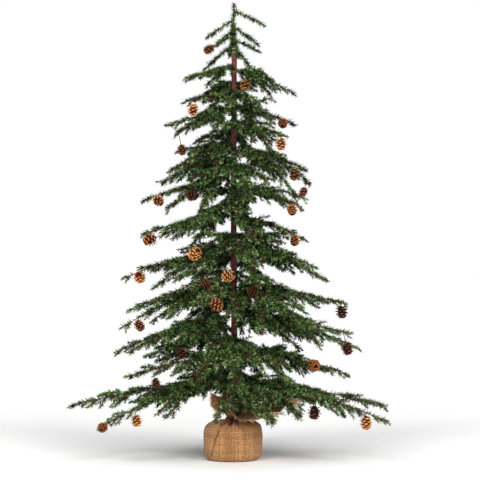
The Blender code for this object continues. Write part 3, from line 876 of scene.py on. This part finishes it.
def make_cone(name, centre, up, length, tone, seed):
    rng = np.random.default_rng(500 + seed)
    soup = Soup()
    half = length / 2
    belly = length * rng.uniform(0.43, 0.48)
    frame3 = up.to_track_quat("Z", "Y").to_matrix()
    axis = np.array(frame3).T  # rows: local x, y, z in world
    turns = int(40 * (0.93 + 0.14 * rng.random()))
    # Woody core between the scales, mapped onto the painted shadow at the root end of the scales' ramp.
    spine = np.linspace(0.92, -0.86, 9)
    core = [tuple(np.array(centre) + np.array((0, 0, half * h)) @ axis) for h in spine]
    girth = [length * 0.30 * max(0.12, 1 - (h + 0.02) ** 2) ** 0.6 for h in spine]
    tube_along(soup, core, girth, 10)
    soup.maps[-1][:] = soup.maps[-1] * (0.9, 0.05) + (0.02, 0.01)
    for k in range(turns):
        share = (k + 0.5) / turns
        angle = k * 2.39996 + rng.normal(0, 0.05)
        h = half * (0.74 - 1.50 * share**0.95)
        fat = math.sin(math.pi * min(1, 0.14 + 0.82 * share)) ** 0.55
        reach = belly * fat * rng.uniform(0.94, 1.05)
        lift = math.radians(-22 + 92 * share**1.15) + rng.normal(0, 0.05)
        root = 0.10 * length
        tongue = max(reach - root, 0.12 * length)
        wide = length * 0.118 * (0.55 + 0.5 * fat)
        points = SCALE_POINTS * (tongue, wide, 0.46 * length)
        cl, sl = math.cos(lift), math.sin(lift)
        x = points[:, 0] * cl + points[:, 2] * sl + root
        zz = -points[:, 0] * sl + points[:, 2] * cl + h + 0.20 * tongue * sl
        ca, sa = math.cos(angle), math.sin(angle)
        local = np.stack([x * ca - points[:, 1] * sa, x * sa + points[:, 1] * ca, zz], 1)
        world_points = local @ axis + np.array(centre)
        u = rng.random() * 0.9
        uv = np.zeros((len(SCALE_QUADS), 4, 2))
        flat = SCALE_POINTS[SCALE_QUADS]
        uv[:, :, 0] = u + 0.045 + 0.045 * flat[:, :, 1]
        uv[:, :, 1] = 0.08 + 0.88 * flat[:, :, 0]
        # Rims get a sliver of width in the map, so that no face is a line.
        uv[:, 2:, 0] += 0.004
        uv[:, 1:3, 1] += 0.004
        soup.add(world_points, SCALE_QUADS, uv.reshape(-1, 2))
    return soup.build(name, CONE_TONES_LIT_TO_SHADED[tone], smooth=False)


def clear_of_cones(soup, spots):
    """Drops the needle strips that would run through a cone or lie right in front of it."""
    for n, points in enumerate(soup.points):
        middle = points.reshape(-1, 4, 3).mean(1)
        keep = np.ones(len(middle), bool)
        for centre, length in spots:
            gap = middle - centre
            flat = np.hypot(gap[:, 0], gap[:, 2])
            inside = (np.linalg.norm(gap, axis=1) < 0.60 * length) | (
                (flat < 0.54 * length) & (gap[:, 1] < 0) & (gap[:, 1] > -0.070)
            )
            keep &= ~inside
        if keep.all():
            continue
        strips = keep.sum()
        soup.points[n] = points.reshape(-1, 4, 3)[keep].reshape(-1, 3)
        soup.maps[n] = soup.maps[n].reshape(-1, 4, 2)[keep].reshape(-1, 2)
        soup.quads[n] = np.arange(strips * 4).reshape(-1, 4)
    total = 0
    points, maps, quads = [], [], []
    for p, q, m in zip(soup.points, soup.quads, soup.maps):
        if not len(p):
            continue
        points.append(p)
        maps.append(m)
        quads.append(np.arange(len(p)).reshape(-1, 4) + total)
        total += len(p)
    soup.points, soup.quads, soup.maps, soup.count = points, quads, maps, total


for seed, (row, (start, centre, length)) in enumerate(zip(CONES, cone_places)):
    cone_name, branch, tone = row[0], row[4], row[8]
    if branch == "leader":
        body, wires = "leader", leader_wires
    else:
        body, wires = branches[branch]["body"], branches[branch]["wires"]
    up = (start - centre).normalized()
    top = centre + up * (length * 0.46)
    middle = start.lerp(top, 0.5) + Vector((0, -0.001, 0.002))
    tube_along(wires, [tuple(start), tuple(middle), tuple(top)], [0.0007] * 3, 5)
    piece = make_cone("natural_" + cone_name, tuple(centre), up, length, tone, seed)
    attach(piece, body)
    if cone_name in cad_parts:
        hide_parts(cone_name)


def finish_node(name, material):
    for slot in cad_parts[name].material_slots:
        slot.material = material


def make_pole():
    """The pole: not quite straight or round, wound with paper tape, ragged at its top."""
    around, rows = 40, 420
    a = np.linspace(0, 2 * np.pi, around, endpoint=False)[None]
    z = np.linspace(POLE_BOTTOM, POLE_TOP, rows)[:, None]
    turn = (z / 0.0165 + a / (2 * np.pi)) % 1.0
    rng = np.random.default_rng(31)
    r = POLE_R_LOW + (POLE_R_TOP - POLE_R_LOW) * (z - POLE_BOTTOM) / (POLE_TOP - POLE_BOTTOM)
    r = r + 0.00030 * (1 - turn) + 0.00012 * np.sin(9 * a + 40 * z) + 0.00016 * np.sin(4 * a - 95 * z + 1.0)
    r = r + 0.00010 * np.sin(23 * a + 260 * z) + rng.normal(0, 0.00004, (rows, around))
    r = r + 0.0009 * np.exp(-(((z - 0.806) / 0.007) ** 2)) * (0.5 - 0.5 * np.cos(a - 0.4))
    top = POLE_TOP + 0.0 * a - 0.0022 * (0.5 + 0.5 * np.sin(5 * a + 0.7)) * (z > POLE_TOP - 0.004)
    zz = np.minimum(z + 0 * a, top)
    x = r * np.cos(a) + 0.0007 * np.sin(z * 9.0)
    y = r * np.sin(a) + 0.0005 * np.sin(z * 7.0 + 1.0)
    points = np.stack([x, y, zz], 2)
    # Closed over the top and under the foot.
    cap_top = np.stack([x[-1] * 0.55, y[-1] * 0.55, zz[-1] - 0.0006], 1)[None]
    shut_top = np.stack([x[-1] * 0.04, y[-1] * 0.04, zz[-1] * 0 + POLE_TOP - 0.002], 1)[None]
    shut_low = np.stack([x[0] * 0.04, y[0] * 0.04, zz[0]], 1)[None]
    points = np.concatenate([shut_low, points, cap_top, shut_top])
    v = np.linspace(0, 1, len(points))
    return grid_object("wrapped_pole", points, a[0] / (2 * math.pi), v, POLE)


def grid_object(name, points, u, v, material):
    """A closed-round grid of rows as quads, mapped once over the unit square."""
    rows, around = points.shape[:2]
    soup = Soup()
    i, k = np.meshgrid(np.arange(rows - 1), np.arange(around), indexing="ij")
    i, k = i.ravel(), k.ravel()
    kk = (k + 1) % around
    quads = np.stack([i * around + k, i * around + kk, (i + 1) * around + kk, (i + 1) * around + k], 1)
    uv = np.stack(
        [
            np.stack([u[k], v[i]], 1),
            np.stack([u[k] + 1 / around, v[i]], 1),
            np.stack([u[k] + 1 / around, v[i + 1]], 1),
            np.stack([u[k], v[i + 1]], 1),
        ],
        1,
    )
    soup.add(points.reshape(-1, 3), quads, uv.reshape(-1, 2))
    return soup.build(name, material, smooth=True)


wrapped_pole = make_pole()
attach(wrapped_pole, "base")
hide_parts("trunk_pole")

# ------------------------------------------------------------------ put the branches in
for name, info in branches.items():
    clear_of_cones(info["needles"], cone_spots)
    needles = info["needles"].build("needles_" + name, NEEDLES)
    wires = info["wires"].build("wires_" + name, WIRE, smooth=True)
    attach(needles, info["body"])
    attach(wires, info["body"])
    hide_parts(name)
clear_of_cones(leader_needles, cone_spots)
needles = leader_needles.build("needles_leader", NEEDLES)
wires = leader_wires.build("wires_leader", WIRE, smooth=True)
for piece in (needles, wires):
    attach(piece, "leader")
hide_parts("leader_tip")

# ------------------------------------------------------------------ burlap base
NECK_R, RUFFLE_Z = 0.0150, 0.0885
SACK_PROFILE = (
    (0.0000, 0.0007),
    (0.0240, 0.0006),
    (0.0450, 0.0005),
    (0.0510, 0.0012),
    (0.0545, 0.0050),
    (0.0566, 0.0130),
    (0.0576, 0.0260),
    (0.0580, 0.0400),
    (0.0576, 0.0540),
    (0.0557, 0.0645),
    (0.0505, 0.0722),
    (0.0400, 0.0762),
    (0.0280, 0.0776),
    (0.0195, 0.0784),
    (0.0152, 0.0800),
    (0.0146, 0.0822),
    (0.0150, 0.0850),
)


def ruffle_reach(a):
    """As in the CAD: four corners, the right one longest, by azimuth."""
    corner = 0.5 + 0.5 * np.cos(4 * (a - math.radians(8)))
    away = np.clip(0.5 - 0.5 * np.cos(a - math.radians(328)), 0, 1)
    reach = 0.048 + (0.032 - 0.022 * away) * corner - 0.007 * away
    reach = reach + 0.042 * np.maximum(0.0, np.cos(a - math.radians(8))) ** 6
    low = np.angle(np.exp(1j * (a - math.radians(318))))
    return reach + 0.032 * np.exp(-((low / math.radians(15)) ** 2))


def ruffle_lift(a):
    turn = a - math.radians(8)
    low = np.angle(np.exp(1j * (a - math.radians(318))))
    lift = 38 - 17 * np.cos(turn) + 28 * np.sin(turn)
    return np.radians(lift * (1 - 0.6 * np.exp(-((low / math.radians(20)) ** 2))))


def smooth_profile(count):
    """The profile as evenly spaced (radius, height, length so far), corners rounded."""
    p = np.array(SACK_PROFILE)
    for _ in range(2):
        q = np.empty((2 * len(p) - 2, 2))
        q[0::2] = 0.75 * p[:-1] + 0.25 * p[1:]
        q[1::2] = 0.25 * p[:-1] + 0.75 * p[1:]
        p = np.vstack([p[:1], q, p[-1:]])
    s = np.concatenate([[0], np.cumsum(np.linalg.norm(np.diff(p, axis=0), axis=1))])
    at = np.linspace(0, s[-1], count)
    return np.interp(at, s, p[:, 0]), np.interp(at, s, p[:, 1]), at


def ripple(a, z, seed, terms):
    """Smooth irregular waves round the sack: a sum of cosines with seeded phases."""
    rng = np.random.default_rng(seed)
    total = np.zeros_like(a)
    for turns, rise, weight in terms:
        total += weight * np.cos(turns * a + rise * z + rng.uniform(0, 2 * np.pi))
    return total


def bump(x, width):
    return np.exp(-((x / width) ** 2))


def seam_angle(z):
    """The sewn side seam leans: its azimuth by height."""
    return math.radians(226) + (z - 0.018) * 6.0


def burlap_surface():
    around, rows, out_rows = 320, 96, 34
    a = np.linspace(0, 2 * np.pi, around, endpoint=False)
    r0, z0, at = smooth_profile(rows)
    r = np.repeat(r0[:, None], around, 1)
    z = np.repeat(z0[:, None], around, 1)
    aa = np.repeat(a[None], rows, 0)
    side = np.clip(z / 0.010, 0, 1)
    # Slack cloth over a hard block: broad dents, and short creases that run down the sides.
    slack = ripple(aa, z, 3, ((2, 9, 0.0009), (3, -14, 0.0008), (5, 25, 0.0006), (8, -40, 0.0004)))
    slack += 0.0007 * ripple(aa, z, 4, ((13, 90, 0.5), (19, -120, 0.35), (7, 170, 0.4)))
    outer = np.clip((r - 0.040) / 0.016, 0, 1)
    r += slack * side * outer
    # Pleats drawn from the tie over the shoulder, deep and narrow near the tie.
    near = np.clip((z - 0.056) / 0.020, 0, 1) * np.clip((0.058 - r0[:, None]) / 0.030, 0, 1)
    pleat = np.zeros_like(a)
    rng = np.random.default_rng(12)
    spots = np.sort(rng.uniform(0, 2 * np.pi, 17))
    for spot in spots:
        gap = np.angle(np.exp(1j * (a - spot)))
        pleat -= rng.uniform(0.5, 1.0) * bump(gap, rng.uniform(0.06, 0.12))
    # Two deep ones right in front, where the photographed base shows them.
    for spot, deep in ((math.radians(262), 2.2), (math.radians(284), 1.9), (math.radians(240), 1.5), (math.radians(305), 1.0)):
        pleat -= deep * bump(np.angle(np.exp(1j * (a - spot))), 0.125)
    z += 0.0052 * near * pleat[None] * np.clip((r - 0.012) / 0.02, 0, 1)
    r += 0.0026 * near * pleat[None]
    # The shoulder bulges up and out at the right, as the photographed one does.
    z += 0.0022 * bump(np.angle(np.exp(1j * (aa - math.radians(330)))), 1.0) * near * (r > 0.02)
    # The sewn side seam, leaning, in front at the left: a ridge beside a groove.
    off = np.angle(np.exp(1j * (aa - seam_angle(z)))) * 0.058
    along_seam = np.clip((z - 0.008) / 0.006, 0, 1) * np.clip((0.064 - z) / 0.006, 0, 1)
    r += (0.0019 * bump(off - 0.0034, 0.0022) - 0.0022 * bump(off, 0.0016)) * along_seam
    # The neck is gathered into narrow folds under the tie.
    folds = np.abs(np.cos(11 * a + 0.6 * np.sin(3 * a)))
    in_neck = np.clip((z0 - 0.0770) / 0.003, 0, 1)[:, None]
    r -= in_neck * 0.0022 * folds[None]
    # The block stands a little to the left of the pole.
    xs = [r * np.cos(aa) - 0.0030 * np.clip((0.0790 - z) / 0.016, 0, 1)]
    ys = [r * np.sin(aa)]
    zs = [z]
    # The loose cloth above the tie: it stands up or lies out by azimuth, in deep waves.
    share = np.linspace(0.03, 1.0, out_rows)[:, None]
    wave = ripple(a, 0 * a, 8, ((5, 0, 0.55), (7, 0, 0.65), (9, 0, 0.35)))
    fine = ripple(a, 0 * a, 9, ((14, 0, 0.6), (19, 0, 0.5), (23, 0, 0.4)))
    reach = ruffle_reach(a)[None] * share
    reach = reach * (1 + 0.03 * fine[None] * share)
    lift = ruffle_lift(a)[None] * (1.15 - 0.25 * share)
    lift = lift + np.radians(17) * wave[None] * np.clip(share * 1.6, 0, 1) + np.radians(6) * fine[None] * share
    # The last stretch curls, up at the left and over at the right.
    lift = lift + np.radians(16) * (share**3) * np.cos(a - math.radians(200))[None]
    # The cut edge turns over into a lip at the left and the back.
    lift = lift - np.radians(62) * (share**7) * np.clip(np.cos(a - math.radians(190)) + 0.25, 0, 1)[None]
    lift = np.maximum(lift, np.radians(-12))
    turn = a[None] + 0.10 * np.sin(6 * a + 1.3)[None] * share + 0.05 * fine[None] * share * (1 - 0.4 * share)
    fold_r = 0.0020 * folds[None] * np.clip(1 - 3.2 * share, 0, 1)
    steps = np.diff(np.concatenate([np.zeros((1, around)), reach], 0), axis=0)
    rr = NECK_R - fold_r + np.cumsum(steps * np.cos(lift), 0)
    zz = RUFFLE_Z - 0.0026 + np.cumsum(steps * np.sin(lift), 0)
    zz = np.maximum(zz, 0.0862)
    xs.append(rr * np.cos(turn))
    ys.append(rr * np.sin(turn))
    zs.append(zz)
    points = np.stack([np.concatenate(xs), np.concatenate(ys), np.concatenate(zs)], 2)
    lengths = np.concatenate([at, at[-1] + 0.0026 + share[:, 0] * 0.085])
    return a, points, lengths


def burlap_material():
    """Plain weave of coarse jute: round threads over and under, slubs, painted shade in the gaps and a slight painted
    highlight on the thread crowns, and a tone of its own for each thread."""
    made, tree, shader = new_material("jute_weave", 0.92)
    links = tree.links
    uv = node(tree, "ShaderNodeUVMap", uv_map="OFBake")
    split = node(tree, "ShaderNodeSeparateXYZ")
    links.new(uv.outputs[0], split.inputs[0])
    place = node(tree, "ShaderNodeTexCoord")

    def math_node(kind, a, b=None, c=None):
        made_node = node(tree, "ShaderNodeMath", operation=kind)
        for slot, value in enumerate((a, b, c)):
            if value is None:
                continue
            if hasattr(value, "is_output"):
                links.new(value, made_node.inputs[slot])
            else:
                made_node.inputs[slot].default_value = value
        return made_node.outputs[0]

    wander = node(tree, "ShaderNodeTexNoise")
    wander.inputs["Scale"].default_value = 60
    wander.inputs["Detail"].default_value = 2
    links.new(place.outputs["Object"], wander.inputs["Vector"])
    shift = math_node("MULTIPLY_ADD", wander.outputs["Fac"], 1.5, -0.75)
    across = math_node("ADD", math_node("MULTIPLY", split.outputs[0], 136.0), shift)
    along = math_node("ADD", math_node("MULTIPLY", split.outputs[1], 100.0), shift)
    sin_u = math_node("SINE", math_node("MULTIPLY", across, math.pi))
    sin_v = math_node("SINE", math_node("MULTIPLY", along, math.pi))
    warp, weft = math_node("ABSOLUTE", sin_u), math_node("ABSOLUTE", sin_v)
    over = math_node("MULTIPLY", sin_u, sin_v)
    which = math_node("GREATER_THAN", over, 0.0)
    top = math_node(
        "ADD",
        math_node("MULTIPLY", warp, which),
        math_node("MULTIPLY", weft, math_node("SUBTRACT", 1.0, which)),
    )
    # Low only where neither thread covers: the open holes of the weave.
    cover = math_node("MAXIMUM", math_node("MULTIPLY", warp, 0.9), weft)
    height = math_node("MULTIPLY", math_node("POWER", top, 0.6), cover)
    threads = []
    for source in (across, along):
        random = node(tree, "ShaderNodeTexWhiteNoise", noise_dimensions="1D")
        links.new(math_node("FLOOR", source), random.inputs["W"])
        threads.append(random.outputs["Value"])
    thread_tone = math_node(
        "ADD",
        math_node("MULTIPLY", threads[0], which),
        math_node("MULTIPLY", threads[1], math_node("SUBTRACT", 1.0, which)),
    )
    grain = node(tree, "ShaderNodeTexNoise")
    grain.inputs["Scale"].default_value = 620
    grain.inputs["Detail"].default_value = 3
    links.new(place.outputs["Object"], grain.inputs["Vector"])
    tone = math_node("ADD", math_node("MULTIPLY", thread_tone, 0.22), math_node("MULTIPLY", grain.outputs["Fac"], 0.85))
    colours = ramp(
        tree,
        (
            (0.26, srgb(124, 82, 50)),
            (0.46, srgb(178, 130, 86)),
            (0.62, srgb(206, 162, 114)),
            (0.82, srgb(234, 202, 158)),
        ),
    )
    links.new(tone, colours.inputs[0])
    # Painted shade where the weave is low, in its gaps, and a slight painted highlight on the crowns of the threads.
    shade = ramp(tree, ((0.10, (0.16, 0.11, 0.08)), (0.46, (0.66, 0.60, 0.55)), (0.88, (1.12, 1.10, 1.06))))
    links.new(height, shade.inputs[0])
    woven = mix_colour(tree, "MULTIPLY", 1.0, colours.outputs[0], shade.outputs[0])
    stain = node(tree, "ShaderNodeTexNoise")
    stain.inputs["Scale"].default_value = 26
    stain.inputs["Detail"].default_value = 4
    links.new(place.outputs["Object"], stain.inputs["Vector"])
    worn = ramp(tree, ((0.30, (0.72, 0.66, 0.60)), (0.62, (1.05, 1.03, 1.0))))
    links.new(stain.outputs["Fac"], worn.inputs[0])
    final = mix_colour(tree, "MULTIPLY", 1.0, woven.outputs[2], worn.outputs[0])
    links.new(final.outputs[2], shader.inputs["Base Color"])
    relief = node(tree, "ShaderNodeBump")
    relief.inputs["Strength"].default_value = 0.9
    relief.inputs["Distance"].default_value = 0.0009
    links.new(height, relief.inputs["Height"])
    links.new(relief.outputs[0], shader.inputs["Normal"])
    shader.inputs["Specular IOR Level"].default_value = 0.15
    shader.inputs["Sheen Weight"].default_value = 0.12
    return made


def thread_material(name, tones):
    made, tree, shader = new_material(name, 0.9)
    noise = along_noise(tree, 2.0, 60.0)
    tone = ramp(tree, tuple(zip((0.3, 0.52, 0.70), tones)))
    tree.links.new(noise.outputs["Fac"], tone.inputs[0])
    tree.links.new(tone.outputs[0], shader.inputs["Base Color"])
    return made


BURLAP = burlap_material()
THREAD = thread_material("jute_thread", (srgb(206, 156, 110), srgb(240, 208, 168), srgb(252, 240, 218)))
# Dark seam thread: its tone is partly the thread's own and partly painted shadow of the seam's fold.
DARK_THREAD_AS_SHADE = thread_material("seam_thread_painted_shadow", (srgb(60, 32, 18), srgb(92, 52, 30), srgb(128, 80, 48)))
angles, cloth_points, cloth_length = burlap_surface()
burlap = grid_object(
    "burlap_cloth", cloth_points, angles / (2 * math.pi), cloth_length / cloth_length[-1], BURLAP
)
shell = burlap.modifiers.new("weave_thickness", "SOLIDIFY")
shell.thickness = 0.0011
shell.offset = 0
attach(burlap, "base")
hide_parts("burlap_wrap")

# Frayed threads along the cut edge, most of them and the longest at the right-hand corners.
fray_rng = np.random.default_rng(41)
fray = Soup()
rim, inner = cloth_points[-1], cloth_points[-5]
count = len(rim)
for k in range(0, count, 1):
    a = angles[k]
    right = max(0.0, math.cos(a - math.radians(8))) ** 2
    front_right = max(0.0, math.cos(a - math.radians(322))) ** 3
    if fray_rng.random() > 0.50 + 0.35 * right + 0.3 * front_right:
        continue
    way = Vector(rim[k] - inner[k]).normalized()
    side = Vector(rim[(k + 1) % count] - rim[k]).normalized()
    long = fray_rng.uniform(0.004, 0.010) * (1 + 0.9 * right + 0.8 * front_right)
    start = Vector(rim[k]) - way * 0.004
    lean = side * fray_rng.normal(0, 0.35) + Vector((0, 0, fray_rng.normal(-0.10, 0.25)))
    middle = start + (way + lean * 0.5).normalized() * (long * 0.5 + 0.003)
    end = middle + (way + lean * 1.6 + Vector((0, 0, -0.25))).normalized() * (long * 0.5)
    tube_along(fray, [tuple(start), tuple(middle), tuple(end)], [0.00055, 0.00050, 0.00030], 4)
# Loose crosswise threads that have slipped off the edge at the corners on the right.
for corner, width, n in ((8, 24, 7), (320, 18, 7), (98, 16, 4), (188, 16, 4)):
    for j in range(n):
        first = int((corner + fray_rng.uniform(-width, width * 0.2)) / 360 * count)
        span = int(fray_rng.uniform(0.35, 0.9) * width / 360 * count * 1.4)
        off = fray_rng.uniform(0.0012, 0.0065)
        path = []
        for k in range(first, first + span, 2):
            at = Vector(rim[k % count])
            way = Vector(rim[k % count] - inner[k % count]).normalized()
            path.append(tuple(at + way * (off + 0.0012 * math.sin(k * 0.9 + j)) + Vector((0, 0, 0.0009 * math.sin(k * 0.7 + 2 * j)))))
        if len(path) > 3:
            tube_along(fray, path, [0.00052] * len(path), 4)
# Two long strays, as on the right of the photographed base.
for a0, run in ((2, ((0.010, 0.0, 0.001), (0.022, -0.004, -0.002), (0.026, -0.010, -0.008))), (338, ((0.006, 0.002, 0.000), (0.016, -0.002, -0.003), (0.024, -0.006, -0.001)))):
    k = int(a0 / 360 * count)
    at = Vector(rim[k])
    tube_along(fray, [tuple(at - Vector((0.004, 0, 0)))] + [tuple(at + Vector(p)) for p in run], [0.0004] * 4, 4)
fringe = fray.build("frayed_threads", THREAD, smooth=True)
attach(fringe, "base")

# The seam's thread lies in the fold in long stitches, in and out of the cloth; its dark tone paints the shadow in the
# fold as well as the thread's own colour.
sewn = Soup()
cloth_xy = cloth_points[:96]


def cloth_at(a, z):
    """The point of the sack's side at an azimuth and a height."""
    k = int(round((a % (2 * math.pi)) / (2 * math.pi) * count)) % count
    column = cloth_xy[30:, k]
    return column[np.argmin(np.abs(column[:, 2] - z))]


stitch = []
for k in range(120):
    z = 0.011 + 0.051 * k / 119
    at = cloth_at(float(seam_angle(z)), z)
    out = np.array((at[0], at[1], 0.0)) / np.hypot(at[0], at[1])
    stitch.append(tuple(np.array((at[0], at[1], z)) + out * (0.0016 + 0.0002 * math.sin(k * 2 * math.pi / 10))))
tube_along(sewn, stitch, [0.00100] * len(stitch), 6)
seam_thread_painted_shadow = sewn.build("seam_thread_painted_shadow", DARK_THREAD_AS_SHADE, smooth=True)
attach(seam_thread_painted_shadow, "base")

# The tie: two strands of wire twisted round each other, with a twisted end.
tie = Soup()
ring_z, ring_r = 0.0822, NECK_R + 0.0019
for strand in (0, 1):
    path = []
    for k in range(97):
        a = 2 * math.pi * k / 96
        t = 26 * a + strand * math.pi
        rr = ring_r + 0.0006 * math.cos(t)
        path.append((rr * math.cos(a), rr * math.sin(a), ring_z + 0.0006 * math.sin(t)))
    tube_along(tie, path, [0.00062] * len(path), 5)
    end = []
    for k in range(26):
        s = k / 25
        t = 30 * s + strand * math.pi
        a = math.radians(250)
        rr = ring_r + 0.001 + 0.010 * s
        zz = ring_z - 0.001 + 0.004 * s * s
        turn = a + 0.25 * s
        end.append((rr * math.cos(turn) + 0.0006 * math.cos(t), rr * math.sin(turn), zz + 0.0006 * math.sin(t)))
    tube_along(tie, end, [0.00062] * len(end), 5)
tie_piece = tie.build("tie_wire", WIRE, smooth=True)
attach(tie_piece, "base")
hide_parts("neck_tie")


def cement_material():
    made, tree, shader = new_material("cement_block", 0.95)
    place = node(tree, "ShaderNodeTexCoord")
    noise = node(tree, "ShaderNodeTexNoise")
    noise.inputs["Scale"].default_value = 240
    noise.inputs["Detail"].default_value = 5
    tree.links.new(place.outputs["Object"], noise.inputs["Vector"])
    tone = ramp(tree, ((0.3, srgb(120, 118, 112)), (0.6, srgb(168, 166, 158)), (0.8, srgb(196, 194, 186))))
    tree.links.new(noise.outputs["Fac"], tone.inputs[0])
    tree.links.new(tone.outputs[0], shader.inputs["Base Color"])
    bump_node = node(tree, "ShaderNodeBump")
    bump_node.inputs["Distance"].default_value = 0.0008
    tree.links.new(noise.outputs["Fac"], bump_node.inputs["Height"])
    tree.links.new(bump_node.outputs[0], shader.inputs["Normal"])
    return made


finish_node("cement_weight", cement_material())

# ------------------------------------------------------------------ floor
floor_mesh = bpy.data.meshes.new("floor")
floor_mesh.from_pydata([(-12, -8, 0), (12, -8, 0), (12, 14, 0), (-12, 14, 0)], [], [(0, 1, 2, 3)])
floor = bpy.data.objects.new("floor", floor_mesh)
scene.collection.objects.link(floor)
floor_material, floor_tree, floor_shader = new_material("pale_floor", 0.9)
floor_shader.inputs["Base Color"].default_value = (0.95, 0.95, 0.95, 1)
floor_mesh.materials.append(floor_material)
floor.location.z = -0.0005
